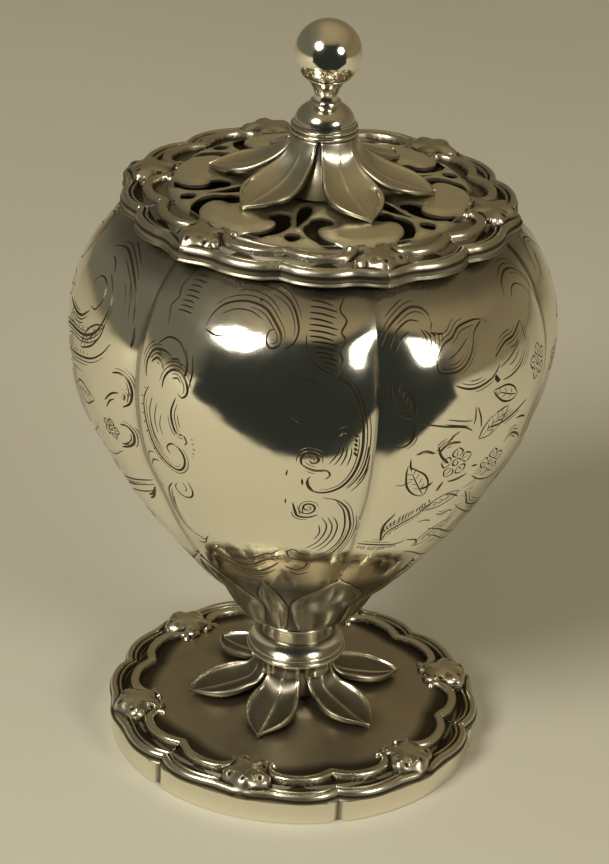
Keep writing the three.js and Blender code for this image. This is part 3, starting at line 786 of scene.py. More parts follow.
def sweep_panel():
    """Long sweeping scrolls with small curls beside the creases."""
    cuts = [
        ([(2.5, 123.8), (8.3, 125.1), (14.6, 124.3), (20.9, 122.2), (24.6, 119.4), (26.1, 115.7)], 0.55),
        ([(11.4, 121), (15.6, 119), (17.7, 116.2), (16.7, 111.9), (14.1, 109), (9.3, 106.9), (0.9, 105.5),
          (-5.4, 103.8),
          (-13.8, 100.5), (-19, 97.1), (-24, 92)], 0.55),
        ([(21.4, 109.3), (18.8, 106.2), (14.1, 103.3), (6.2, 101), (-1.7, 99), (-9.6, 96.4),
          (-14.8, 92.9), (-20, 89),
          (-24.6, 83)], 0.5),
        ([(9.9, 112.4), (6.2, 110), (0.9, 109.3), (-6, 109.6)], 0.6),
        ([(8, 97.8), (3, 96.8), (-4, 94.6), (-12, 90.4), (-18, 85.4)], 0.35),
        ([(6.4, 123), (9.6, 122.6), (12.8, 121.2)], 0.35),
        ([(5.8, 117), (8.6, 119.4), (12.4, 119), (14, 116.4), (12.4, 113.6), (9.6, 113.4)], 0.4),
        ([(22, 121.6), (24.8, 119), (26.6, 114.6)], 0.3),
        ([(20.4, 121.4), (23, 119), (24.8, 115)], 0.3),
        ([(18.6, 121.2), (21, 119.2), (22.8, 116)], 0.25),
        ([(27, 114.6), (27.6, 112), (27.4, 110)], 0.6),
        ([(22.5, 103.2), (25, 104), (27.6, 103.2), (28.8, 100.6), (28, 97.8), (25.6, 96.2)], 0.55),
        ([(25.4, 99.8), (26.6, 99.4), (26.4, 98.2), (25.2, 98.6)], 0.45),
        ([(25, 99.4), (22.4, 98.4), (19.4, 95.6)], 0.4),
        ([(23.4, 97.4), (21.6, 96.4), (19.8, 94)], 0.35),
        ([(23.6, 91.4), (26.2, 91.8), (27.8, 90.4), (27.4, 88), (25.4, 86.4), (22, 85)], 0.6),
        ([(26, 87.6), (24.4, 86.6), (22.6, 86.2)], 0.4),
        ([(22, 84), (16, 80.6), (10, 78.8), (2, 77.6), (-6, 76.6), (-14, 75.6)], 0.3),
        ([(12, 86.2), (7.4, 83.4), (0, 81), (-8, 79.4), (-16, 79.4)], 0.4),
        ([(28.4, 78), (20, 75.2), (12, 72.6), (4, 69.6), (-4, 66.4), (-12, 64)], 0.55),
        ([(28.2, 76.6), (20, 73.8), (12, 71.2), (4, 68.2), (-4, 65.2), (-12, 62.8)], 0.4),
        ([(28, 75), (22, 72.6), (14, 70), (6, 67.2), (-2, 64)], 0.4),
        ([(27.8, 76), (25.6, 73.4), (22.6, 71.8)], 0.55),
        ([(27, 74.4), (25, 72.2), (22.6, 70.9)], 0.5),
        ([(-12, 64.2), (-17, 62), (-20.6, 59.6)], 0.5),
        ([(-12, 62.8), (-16.4, 60.2), (-19, 58.4)], 0.45),
        ([(-26, 120), (-22.6, 123.4), (-17, 124.8), (-11.6, 123.4), (-9, 120), (-10.6, 116.6),
          (-14, 116)], 0.45),
        ([(-24, 118), (-21, 121.4), (-16.6, 122.4)], 0.3),
    ]
    cuts = shaded(cuts)
    under_branch = [(16.7, 111.9), (14.1, 109), (9.3, 106.9), (0.9, 105.5), (-5.4, 103.8)]
    cuts += ticks(under_branch, 14, 1.8, -100, 0.25)
    cuts += ticks([(14.1, 103.3), (6.2, 101), (-1.7, 99), (-9.6, 96.4)], 10, 1.6, -110, 0.25)
    for root, tip, spread, veins in (
        ((-6, 112), (-20, 108.6), 2.8, 5),
        ((2, 92), (14.4, 93.6), 2.4, 4),
        ((-10, 84), (-22, 76.6), 2.4, 4),
        ((-2, 73), (10, 75.8), 1.8, 3),
        ((18, 112), (8, 103.6), 1.8, 4),
        ((-8, 69.6), (-20, 66), 2.0, 4),
        ((6, 61), (17, 64.6), 1.8, 4),
    ):
        cuts += leaf_cuts(root, tip, spread, veins)
    for middle, z, size in ((-22, 100.4, 3.0), (20, 89, 2.2)):
        cuts += flower(middle, z, size, 0, 1.2, 0.4)
    return cuts + lotus()


GROOVE_DEPTH = 0.20
BOLDNESS = 1.2  # every cut is this much wider than drawn
PANEL_COLUMNS = [0, 0.5, 1.2, 2.2, 3.6, 5.4, 7.6, 10.2, 13.2, 16.6, 20.4, 25]  # degrees from the crease


def panel_mesh(cuts):
    """Cuts a flattened panel into triangles that follow every cut. Returns flat points, depths, triangles
    and which triangles lie in a cut."""
    top = body_length[-1]
    rows = np.linspace(0, top, 92)
    mirrored = [LOBE_DEG - column for column in reversed(PANEL_COLUMNS)]
    degrees = np.array([*PANEL_COLUMNS, PANEL_EDGE, *mirrored]) - PANEL_EDGE
    u, v = np.meshgrid(degrees * ROUND_MM, rows, indexing="ij")
    fixed = np.stack([u.ravel(), v.ravel()], -1)
    reach = PANEL_EDGE * ROUND_MM - 0.8
    u, v = np.meshgrid(np.linspace(-reach, reach, 44), np.arange(5, along_at(59), 0.85) + 0.3, indexing="ij")
    fixed = np.vstack([fixed, np.stack([u.ravel(), v.ravel()], -1)])
    lines = []
    for line, width in cuts:
        path = np.array([(d * ROUND_MM, along_at(z)) for d, z in line])
        path = spline(path, 0.8)
        limit = PANEL_EDGE * ROUND_MM - 0.35
        path[:, 0] = np.clip(path[:, 0], -limit, limit)
        t = np.linspace(0, 1, len(path))
        half = 0.5 * BOLDNESS * width * (0.3 + 0.7 * np.sin(math.pi * np.clip(t, 0.02, 0.98)) ** 0.6)
        lines.append((path, half))
    gap, _ = nearest_cut(fixed, lines)
    inner = (np.abs(fixed[:, 0]) < PANEL_EDGE * ROUND_MM - 1e-6) & (gap < 1.6)
    points = list(map(tuple, fixed[~inner]))
    edges = []
    for path, half in lines:
        way = np.gradient(path, axis=0)
        way /= np.maximum(np.linalg.norm(way, axis=1, keepdims=True), 1e-9)
        side = np.stack([-way[:, 1], way[:, 0]], -1) * half[:, None]
        start = len(points)
        points += list(map(tuple, path))
        count = len(path)
        edges += [(start + i, start + i + 1) for i in range(count - 1)]
        for offset in (side, -side):
            first = len(points)
            points += list(map(tuple, (path + offset)[1:-1]))
            chain = [start, *range(first, first + count - 2), start + count - 1]
            edges += list(zip(chain[:-1], chain[1:]))
    result = delaunay_2d_cdt([Vector(p) for p in points], edges, [], 0, 1e-4)
    flat = np.array([tuple(p) for p in result[0]])
    triangles = np.array(result[2])
    _, depth = nearest_cut(flat, lines)
    _, inside = nearest_cut(flat[triangles].mean(1), lines)
    return flat, depth, triangles, inside > 0.05


def nearest_cut(points, lines):
    """For each point, the distance to the nearest cut in half widths of it, and that cut's depth."""
    best = np.full(len(points), 1e9)
    depth = np.zeros(len(points))
    for path, half in lines:
        low = path.min(0) - 1.2
        high = path.max(0) + 1.2
        near = np.where(((points > low) & (points < high)).all(1))[0]
        if not len(near):
            continue
        gap, share = distance_to_path(points[near, 0], points[near, 1], path)
        width = np.interp(share, np.linspace(0, 1, len(half)), half)
        times = gap / np.maximum(width, 1e-6)
        best[near] = np.minimum(best[near], times)
        here = np.clip(1 - times, 0, 1) * np.minimum(1, width / 0.2)
        depth[near] = np.maximum(depth[near], here)
    return best, depth


def ring_points(radius, degrees, z):
    x, y = polar(radius, degrees)
    return np.stack([x, y, np.full(len(degrees), z)], -1)


def make_body():
    """The body in one mesh: six panels with their cuts, and the plain neck, inside and bottom."""
    points, triangles, depths, normals_at = [], [], [], []
    designs = [panel_mesh(scroll_panel()), panel_mesh(flower_panel()), panel_mesh(sweep_panel())]
    order = {-90: 0, -30: 1, 30: 2, 90: 0, 150: 1, -150: 2}
    offset = 0
    for middle, design in order.items():
        flat, depth, tri, _ = designs[design]
        degrees = flat[:, 0] / ROUND_MM + middle
        outer = body_point(degrees, flat[:, 1], depth * GROOVE_DEPTH)
        side = -np.sign(np.round(flat[:, 0], 6))
        points.append(outer)
        normals_at.append(body_normal(degrees, flat[:, 1], side))
        depths.append(depth)
        triangles.append(tri + offset)
        offset += len(flat)
    outer_count = offset
    points, depths = np.vstack(points), np.concatenate(depths)
    normals = np.vstack(normals_at)
    faces = [list(t) for t in np.vstack(triangles)]

    # The plain neck, the inside and the bottom, as rings that go on from the outside.
    theta = np.arange(0, 360, 3.0)
    inner_radius = MOUTH_RADIUS - SHEET
    lip = [
        BODY_OUTSIDE[-1], (38.45, 129.0), (MOUTH_RADIUS, 129.5), (MOUTH_RADIUS, BODY_TOP - 0.15),
        (MOUTH_RADIUS - 0.15, BODY_TOP), (inner_radius + 0.1, BODY_TOP), (inner_radius, BODY_TOP - 0.1),
        (inner_radius, 128.4),
    ]
    rings = [ring_points(r, theta, z) for r, z in lip]
    for along in np.linspace(body_length[-1] - 1.2, 4.5, 70):
        rings.append(body_point(theta, np.full(len(theta), along), SHEET))
    neck = np.vstack(rings)
    ring_faces = grid_faces(len(rings), len(theta), wrap_columns=True) + outer_count
    faces += [list(f) for f in ring_faces]
    last = outer_count + (len(rings) - 1) * len(theta)
    middle = outer_count + len(neck)
    under = middle + 1
    low = middle + 2
    for j in range(len(theta)):
        right = (j + 1) % len(theta)
        faces += [[last + j, last + right, middle], [low + right, low + j, under]]
    low_radius, low_z = BODY_OUTSIDE[0]
    centres = [[0, 0, rings[-1][0, 2] - 0.3], [0, 0, low_z]]
    neck = np.vstack([neck, centres, ring_points(low_radius, theta, low_z)])

    every = np.vstack([points, neck])
    patina_and_shade = np.zeros(len(every))
    height = every[:, 2]
    turn = np.degrees(np.arctan2(points[:, 1], points[:, 0]))
    lobe = from_notch(turn)
    # Painted reflection: the lower body is darkened as if it mirrored the dark foot plate, more between the
    # petals than on them.
    ground = 1 - smooth(petal_rise(turn, points[:, 2]), 0, 0.25)
    patina_and_shade[:outer_count] = (0.48 + 0.40 * ground) * (1 - smooth(height[:outer_count], 51.5, 57))
    # Painted shade along the creases.
    patina_and_shade[:outer_count] += 0.16 * (1 - smooth(lobe, 0, 2.4)) * smooth(height[:outer_count], 58, 70)
    # Painted shadow under the cover's rim.
    patina_and_shade[:outer_count] += 0.65 * smooth(height[:outer_count], 121, 127)
    patina_and_shade[outer_count:] = 0.35
    obj = piece(
        "engraved_body", every, faces, [polished, cut], "vase", ["body_shell"], patina_and_shade, 0
    )
    mesh = obj.data
    outer_faces = sum(len(t) for t in triangles)
    marks = np.zeros(len(mesh.polygons), np.int32)
    marks[:outer_faces] = np.concatenate([designs[design][3] for design in order.values()])
    mesh.polygons.foreach_set("material_index", marks)

    # The uncut silver is shaded as the true curved surface, and each cut as its own flat sides.
    flat = np.zeros(len(mesh.polygons) * 3)
    mesh.polygons.foreach_get("normal", flat)
    flat = flat.reshape(-1, 3)
    loop_vertex = np.zeros(len(mesh.loops), np.int64)
    mesh.loops.foreach_get("vertex_index", loop_vertex)
    own = np.zeros(len(mesh.vertices) * 3)
    mesh.vertices.foreach_get("normal", own)
    own = own.reshape(-1, 3)
    own[:outer_count] = normals
    loop_normals = own[loop_vertex]
    loop_face = np.repeat(np.arange(len(mesh.polygons)), [p.loop_total for p in mesh.polygons])
    cut_loops = marks[loop_face] == 1
    loop_normals[cut_loops] = flat[loop_face[cut_loops]]
    mesh.normals_split_custom_set(loop_normals.tolist())


# ---- cast borders ----

# Outline of a border, as [degrees from a notch, radius].
COVER_OUTLINE = [
    (0, 40.3), (2.2, 40.9), (5, 41.7), (9, 42.2), (13, 42.3), (17, 42.0), (20.5, 41.5), (24, 41.8),
    (27.5, 42.7), (30, 43.2),
]
FOOT_OUTLINE = [
    (0, 41.2), (2.2, 41.9), (5, 42.6), (9, 43.0), (13, 43.0), (17, 42.7), (20.5, 42.4), (24, 42.6),
    (27.5, 43.0), (30, 43.1),
]
# Height of the moulding against the distance in from the outline: bead, ridge, groove, ridge, groove, margin.
MOULDING = [
    (0, -1.6), (0.12, -0.85), (0.4, -0.2), (0.8, 0.18), (1.2, 0.28), (1.6, 0.1), (1.85, -0.35), (2.0, -0.75),
    (2.15, -0.35), (2.35, 0.02), (2.6, 0.05), (2.8, -0.3), (3.05, -1.0), (3.3, -1.1), (3.5, -0.75),
    (3.7, -0.7), (3.95, -1.05), (4.3, -1.1), (4.8, -0.8), (5.6, -0.3), (8, -0.2), (14, -0.2),
]
# Middle of the flat inner band, which ends in a curl beside the shell, as [degrees from a notch, radius].
BORDER_INSIDE = 31.0  # where a border's casting ends under the plate's edge
BAND = [
    (0, 34.3), (2.5, 35.0), (6, 36.0), (10, 36.5), (14, 36.6), (18, 36.2), (21, 35.2), (22.9, 33.8),
    (23.2, 32.6), (21.8, 32.0),
]
BAND_HALF = 1.22
SHELL_CENTRE = 37.0


def blurred(field, size):
    """A field of heights with each value replaced by the mean around it."""
    for axis in (0, 1):
        first, last = [np.repeat(np.take(field, [end], axis), size, axis) for end in (0, -1)]
        padded = np.concatenate([first, field, last], axis)
        total = np.cumsum(padded, axis)
        zero = np.zeros_like(np.take(total, [0], axis))
        total = np.concatenate([zero, total], axis)
        window = 2 * size + 1
        count = field.shape[axis]
        ends = np.take(total, np.arange(window, window + count), axis)
        field = (ends - np.take(total, np.arange(count), axis)) / window
    return field


def shell_height(across, radius, edge, height, seed):
    """A lobed shell draped over the rim: its height, how far out each point lies, and its pits."""
    local = np.random.default_rng(seed)
    phase = local.uniform(-0.3, 0.3)
    y = radius - SHELL_CENTRE
    angle = np.arctan2(across, y)
    reach = 5.4 + 0.3 * np.cos(angle) ** 2 + 0.5 * np.clip(np.cos(angle), 0, 1) ** 3
    reach = reach * (1 + 0.08 * np.cos(5 * angle + phase) + 0.02 * np.cos(3 * angle + local.uniform(0, 6)))
    t = np.hypot(across, y) / reach
    dome = height * np.clip(1 - t**2.5, 0, 1) ** 0.6
    dome = dome + 0.22 * np.cos(5 * angle + phase) * smooth(t, 0.3, 0.75) * (t < 1)
    drape = 2.3 * smooth(2.6 - edge, 0, 2.6) ** 1.5
    dots = np.zeros_like(t)
    for dot in ((-3.4, 2.5), (3.5, 2.2), (0.2, 3.9), (-3.5, -2.2), (3.2, -2.6)):
        x0, y0 = dot[0] + local.uniform(-0.3, 0.3), dot[1] + local.uniform(-0.3, 0.3)
        dots = np.maximum(dots, 1 - smooth(np.hypot(across - x0, (y - y0) * 0.8), 0.15, 0.60))
    return dome - drape - 0.35 * dots, t, dots


def border_heights(degrees, radius, outline, base, plate, band_shift, band_height, shell_rise, seed):
    """The top of one border section. degrees run from -30 to 30 round the shell in its middle."""
    notch = LOBE_DEG / 2 - np.abs(degrees)
    edge = outline - radius
    z = base + np.interp(edge, [q for q, _ in MOULDING], [h for _, h in MOULDING])
    under_plate = smooth(34.2 - radius, 0, 0.6)
    z = z * (1 - under_plate) + (plate(radius) - 0.2) * under_plate

    across, along = radius * np.sin(np.radians(degrees)), radius * np.cos(np.radians(degrees))
    band = spline([polar(r + band_shift, LOBE_DEG / 2 - d) for d, r in BAND], 0.5)
    gap, share = distance_to_path(along, np.abs(across), band)
    half = BAND_HALF * (1 - 0.35 * smooth(share, 0.7, 1))
    inside = 1 - smooth(gap, half - 0.30, half + 0.10)
    # Painted shade: a dark strip along each side of the inner band.
    beside = smooth(gap, half - 0.15, half + 0.20) * (1 - smooth(gap, half + 0.4, half + 1.4))
    top = base + band_height - 0.40 * np.clip(gap / half, 0, 1) ** 2
    top = np.maximum(top, plate(radius) + 0.35)
    z = z * (1 - inside) + np.maximum(z, top) * inside
    eye = spline([polar(r + band_shift, LOBE_DEG / 2 - d) for d, r in ((24.9, 33.5), (25.0, 32.4))], 0.3)
    gap, _ = distance_to_path(along, np.abs(across), eye)
    dome = 0.45 * np.sqrt(np.clip(1 - (gap / 0.95) ** 2, 0, 1))
    knob = np.maximum(base + band_height, plate(radius) + 0.7) + dome - 0.4
    z = np.where(gap < 0.95, np.maximum(z, knob), z)

    rise, t, dots = shell_height(across, along, edge, shell_rise, seed)
    shell = base + 0.45 + rise
    z = np.where(t < 1, np.maximum(z, shell), z)
    claw = np.array([polar(r, d) for d, r in ((3.0, 34.6), (5.2, 33.2), (4.6, 31.9), (2.6, 31.7))])
    gap, share = distance_to_path(along, np.abs(across), spline(claw, 0.3))
    width = 0.95 - 0.35 * share
    curl = base + 0.45 + shell_rise * 0.55 - 0.45 + 0.65 * np.sqrt(np.clip(1 - (gap / width) ** 2, 0, 1))
    z = np.where(gap < width, np.maximum(z, curl), z)
    # The second value is how dark each point is: the pits on the shell, and elsewhere painted shade beside
    # the band.
    return z, np.where(t < 1, dots, 0.6 * beside)


def border_piece(
    name, node, lobe, body, turn, outline_table, base, plate, under, band_shift, band_height, shell_rise,
    skirt,
):
    """One sixth of a cast border: a field of heights on top, then the skirt outside and the underside."""
    degrees = np.linspace(-LOBE_DEG / 2, LOBE_DEG / 2, 233)
    notch = LOBE_DEG / 2 - np.abs(degrees)
    outline = np.interp(notch, *spline(outline_table, 0.5).T)
    share = np.linspace(0, 1, 78)
    radius = BORDER_INSIDE + (outline[:, None] - BORDER_INSIDE) * share[None, :] ** 0.92
    angle = np.repeat(degrees[:, None], len(share), 1)
    seed = 100 * len(body) + lobe
    z, dots = border_heights(
        angle, radius, outline[:, None], base, plate, band_shift, band_height, shell_rise, seed
    )
    z = blurred(z, 1)
    film, bite = (0.24, 9.5) if body == "cover" else (0.17, 6.5)
    fine = np.clip((blurred(z, 4) - z) * bite, 0, 1) * 0.85
    broad = np.clip((blurred(z, 12) - z) * 1.9, 0, 0.75)
    # cavity adds tarnish in the hollows to the pits and the painted shade beside the band.
    cavity = fine + broad + dots
    rows_r, rows_z = [radius], [z]
    rows_h = [np.clip(cavity + film, 0, 1)]
    for r, h in skirt(outline, notch) + under(outline, notch):
        rows_r.append(r[:, None])
        rows_z.append((h + 0 * r)[:, None])
        rows_h.append(np.full((len(r), 1), 0.6))
    r, z = np.hstack(rows_r), np.hstack(rows_z)
    x, y = polar(r, degrees[:, None] + (lobe + 0.5) * LOBE_DEG + turn)
    points = np.stack([x, y, z], -1).reshape(-1, 3)
    columns = r.shape[1]
    faces = [list(f[::-1]) for f in grid_faces(len(degrees), columns, wrap_columns=True)]
    faces.append(list(range(columns)))
    faces.append(list(range((len(degrees) - 1) * columns, len(degrees) * columns))[::-1])
    return piece(name, points, faces, [cast], body, [node], np.hstack(rows_h).ravel(), 0)


# ---- the foot ----

FOOT_BASE = 7.4
WALL_TOP = 5.2


def foot_wall_radius(notch):
    return 42.45 - 0.95 * np.clip(1 - notch / 3.2, 0, 1) ** 1.4


def foot_plate_top(radius):
    return np.interp(radius, [7, 10, 20, 26, 31, 34, 36.4, 40], [11.0, 10.8, 9.6, 8.9, 8.2, 7.75, 7.25, 7.2])


def make_foot():
    degrees = np.arange(0, 360, 0.75)
    wall = foot_wall_radius(from_notch(degrees))
    section = [
        (0.25, 0), (0, 0.25), (0, 2.6), (0, WALL_TOP), (1.3, WALL_TOP), (1.3, 2), (1.3, 0.15), (1.1, 0),
    ]
    rows = [ring_points(wall - inward, degrees, z) for inward, z in section]
    # Painted shade along the notch creases of the wall, over a faint even darkening.
    crease = 0.75 * (1 - smooth(from_notch(degrees), 0.2, 1.6)) + 0.06
    faces = grid_faces(len(rows), len(degrees), wrap_rows=True, wrap_columns=True)
    piece(
        "foot_band", np.vstack(rows), faces, [polished], "vase", ["foot_wall"],
        np.tile(crease, len(rows)), 30,
    )

    radii = np.concatenate([[7], np.linspace(8.6, 37.8, 74)])
    top = foot_plate_top(radii)
    degrees = np.arange(0, 360, 1.5)
    angle, r = np.meshgrid(degrees, radii)
    wobble = 0.06 * np.sin(np.radians(angle * 3) + r * 0.3) + 0.05 * np.sin(np.radians(angle * 7) - r * 0.5)
    z_top = top[:, None] + wobble * smooth(r, 9, 14) * (1 - smooth(r, 29, 32))
    z_low = foot_plate_top(r[::-1]) - SHEET
    x, y = polar(np.vstack([r, r[::-1]]), np.vstack([angle, angle]))
    points = np.stack([x, y, np.vstack([z_top, z_low])], -1).reshape(-1, 3)
    band = 34.6 + 1.9 * np.sin(np.radians(from_notch(angle) * 3)) - 1.4
    # Painted shade on the plate: darker against the border's inner band, round the stem and beside the
    # leaves.
    shade = 0.18 + 0.78 * smooth(r, band - 3.6, band - 0.6) + 0.5 * (1 - smooth(r, 9, 15))
    leafward = np.abs(from_notch(angle) - LOBE_DEG / 2) / (LOBE_DEG / 2)
    shade = shade + 0.32 * (1 - smooth(r, 20, 28)) * (1 - smooth(leafward, 0.25, 0.75))
    patina_and_shade = np.vstack([np.clip(shade, 0, 1), np.full(r.shape, 0.4)]).ravel()
    faces = grid_faces(2 * len(radii), len(degrees), wrap_rows=True, wrap_columns=True)[:, ::-1]
    piece("foot_dish", points, faces, [dark_plate_silver], "vase", ["foot_plate"], patina_and_shade, 50)

    def skirt(outline, notch):
        wall = foot_wall_radius(notch)
        return [
            (outline + 0.02, FOOT_BASE - 1.9), (outline * 0.4 + wall * 0.6, FOOT_BASE - 2.1 + 0 * wall),
            (wall, FOOT_BASE - 2.2 + 0 * wall), (wall, WALL_TOP + 0 * wall),
        ]

    def under(outline, notch):
        flat = np.zeros_like(outline)
        return [(flat + 38.6, WALL_TOP), (flat + 38.2, 7.0), (flat + 36.6, 6.9), (flat + 32.0, 6.9)]

    for lobe in range(LOBES):
        border_piece(
            f"foot_scroll_{lobe + 1}", f"foot_border_{lobe + 1}", lobe, "vase", 0, FOOT_OUTLINE,
            FOOT_BASE, foot_plate_top, under, band_shift=0.4, band_height=1.45, shell_rise=2.3, skirt=skirt,
        )


# ---- the pierced cover plate ----

COVER_BASE = 132.4
PLATE_RADIUS = 37.5


def cover_plate_top(radius):
    return np.interp(radius, [0, 18, 30.5, 33.4, 40], [135.2, 134.9, 134.1, 132.3, 132.3])


def slot_outline(path, half):
    """The outline of a slot that follows a path, with round ends."""
    way = np.gradient(path, axis=0)
    way /= np.linalg.norm(way, axis=1, keepdims=True)
    side = np.stack([-way[:, 1], way[:, 0]], -1) * half[:, None]
    cap_end = [path[-1] + way[-1] * half[-1] * 0.8]
    cap_start = [path[0] - way[0] * half[0] * 0.8]
    return np.vstack([path + side, cap_end, (path - side)[::-1], cap_start])


def circle_outline(x, y, size, count):
    a = np.linspace(0, 2 * math.pi, count, endpoint=False)
    return np.stack([x + size * np.cos(a), y + size * np.sin(a)], -1)


def inside_outline(points, outline):
    """Which points lie inside a closed outline."""
    result = np.zeros(len(points), bool)
    for a, b in zip(outline, np.roll(outline, -1, 0)):
        if a[1] == b[1]:
            continue
        crosses = (a[1] > points[:, 1]) != (b[1] > points[:, 1])
        result ^= crosses & (points[:, 0] < (b[0] - a[0]) * (points[:, 1] - a[1]) / (b[1] - a[1]) + a[0])
    return result


def scroll_hole(side):
    """A round eye that opens into a curved slot with a thin tail, as one outline."""
    eye = (21.0, 4.4 * side)
    inner = [(22.6, 5.9), (23.6, 4.8), (25.2, 4.5), (27.2, 5.4), (28.9, 7.6), (29.7, 10.4)]
    outer = [(30.8, 10.4), (30.8, 7.0), (29.3, 4.0), (26.8, 1.9), (24, 1.3), (21.9, 2.0)]
    outline = []
    for edge in (inner, outer):
        outline += list(spline([(x, y * side) for x, y in edge], 0.6))
    start = math.atan2(outline[-1][1] - eye[1], outline[-1][0] - eye[0])
    end = math.atan2(outline[0][1] - eye[1], outline[0][0] - eye[0])
    while side > 0 and end > start:
        end -= 2 * math.pi
    while side < 0 and end < start:
        end += 2 * math.pi
    for a in np.linspace(start, end, 16)[1:-1]:
        outline.append((eye[0] + 2.45 * math.cos(a), eye[1] + 2.45 * math.sin(a)))
    return np.array(outline)


def plate_holes():
    """Outlines of one sixth of the openings, with x along a notch's direction."""
    t = np.linspace(0, 1, 14)
    drop_path = np.stack([14.0 + 10.6 * t, 0 * t], -1)
    drop_half = 0.25 + 1.55 * np.sin(math.pi * np.minimum(1, 0.16 + 0.84 * t)) * (1 - t) ** 0.55
    round_hole = circle_outline(29.2, 0, 1.72, 20)
    return [slot_outline(drop_path, drop_half), round_hole, scroll_hole(1), scroll_hole(-1)]


def row_turn(degrees):
    """A matrix that turns the rows of [x, y] multiplied by it anticlockwise."""
    a = math.radians(degrees)
    return np.array([[math.cos(a), math.sin(a)], [-math.sin(a), math.cos(a)]])


def nearest(points, outlines, gap):
    """Lowers each point's gap to its distance from the outlines that are near it."""
    for outline in outlines:
        closed = np.vstack([outline, outline[:1]])
        near = (points > outline.min(0) - 2).all(1) & (points < outline.max(0) + 2).all(1)
        found, _ = distance_to_path(points[near, 0], points[near, 1], closed)
        gap[near] = np.minimum(gap[near], found)
    return gap


def make_cover_plate():
    """The domed plate with its twenty-four openings cut right through, and the hole for the stud."""
    outlines = []
    for lobe in range(LOBES):
        outlines += [outline @ row_turn(lobe * LOBE_DEG) for outline in plate_holes()]
    outlines.append(circle_outline(0, 0, 1.8, 24))
    rim = circle_outline(0, 0, PLATE_RADIUS, 240)
    grid = [circle_outline(0, 0, r, max(24, int(2 * math.pi * r / 0.8))) for r in np.arange(3, 37.2, 0.8)]
    spread = np.vstack(grid)
    gap = nearest(spread, outlines, np.full(len(spread), 1e9))
    for outline in outlines:
        gap[inside_outline(spread, outline)] = 0
    points = list(spread[gap > 0.55])
    edges = []
    for outline in [*outlines, rim]:
        first = len(points)
        count = len(outline)
        points += list(outline)
        edges += [(first + i, first + (i + 1) % count) for i in range(count)]
    for outline in outlines:
        way = np.roll(outline, -1, 0) - np.roll(outline, 1, 0)
        way /= np.linalg.norm(way, axis=1, keepdims=True)
        side = np.stack([way[:, 1], -way[:, 0]], -1)
        if inside_outline((outline + side * 0.05)[:1], outline)[0]:
            side = -side
        for size in (0.18, 0.40):
            points += list(outline + side * size)
    result = delaunay_2d_cdt([Vector(p) for p in points], edges, [], 0, 1e-4)
    flat = np.array([tuple(p) for p in result[0]])
    tri = np.array(result[2])
    centre = flat[tri].mean(1)
    keep = np.ones(len(tri), bool)
    for outline in outlines:
        keep &= ~inside_outline(centre, outline)
    tri = tri[keep]
    radius = np.hypot(flat[:, 0], flat[:, 1])
    gap = nearest(flat, outlines[:-1], np.full(len(flat), 9.0))
    top = cover_plate_top(radius) - 0.18 * np.clip(1 - gap / 0.45, 0, 1) ** 2
    swell = 0.34 * smooth(gap, 0.2, 2.6) * smooth(radius, 12, 16) * (1 - smooth(radius, 30, 33))
    top = top + swell + 0.14 * np.sin(radius * 0.55) * smooth(radius, 13, 17) * (1 - smooth(radius, 28, 31))
    low = cover_plate_top(radius) - SHEET - 0.1
    count = len(flat)
    solid = np.vstack([np.column_stack([flat, top]), np.column_stack([flat, low])])
    faces = [list(f) for f in tri] + [list(f[::-1] + count) for f in tri]
    sides = dict.fromkeys(pair for f in tri for pair in zip(f, np.roll(f, -1)))
    for a, b in sides:
        if (b, a) not in sides:
            faces.append([b, a, a + count, b + count])
    solid[:, :2] = solid[:, :2] @ row_turn(COVER_TURN)
    # Darker round each opening; painted shade where the plate runs under the border, and round the middle
    # under the leaves.
    dark = 0.36 * np.clip(1 - gap / 1.1, 0, 1) ** 1.5 + 0.8 * smooth(radius, 31.2, 33)
    dark += 0.35 * (1 - smooth(radius, 9, 15))
    patina_and_shade = np.concatenate([np.clip(dark, 0, 1), np.full(count, 1.0)])
    piece("pierced_plate", solid, faces, [pierced], "cover", ["lid_plate"], patina_and_shade, 50)


def make_cover_border():
    def skirt(outline, notch):
        return [
            (outline - 0.10, 130.5), (outline - 0.30, 130.0), (outline - 0.25, 129.75),
            (outline + 0.12, 129.55), (outline + 0.15, 129.35), (outline - 0.1, 129.2),
        ]

    def under(outline, notch):
        flat = np.zeros_like(outline)
        return [
            (outline - 0.9, 129.3), (flat + 39.0, 129.7), (flat + 38.9, 131.35), (flat + 37.7, 131.35),
            (flat + 37.7, 132.4), (flat + 33.6, 132.4),
        ]

    for lobe in range(LOBES):
        border_piece(
            f"cover_scroll_{lobe + 1}", f"lid_border_{lobe + 1}", lobe, "cover", COVER_TURN, COVER_OUTLINE,
            COVER_BASE, cover_plate_top, under, band_shift=0, band_height=1.5, shell_rise=1.6, skirt=skirt,
        )


# ---- leaves ----


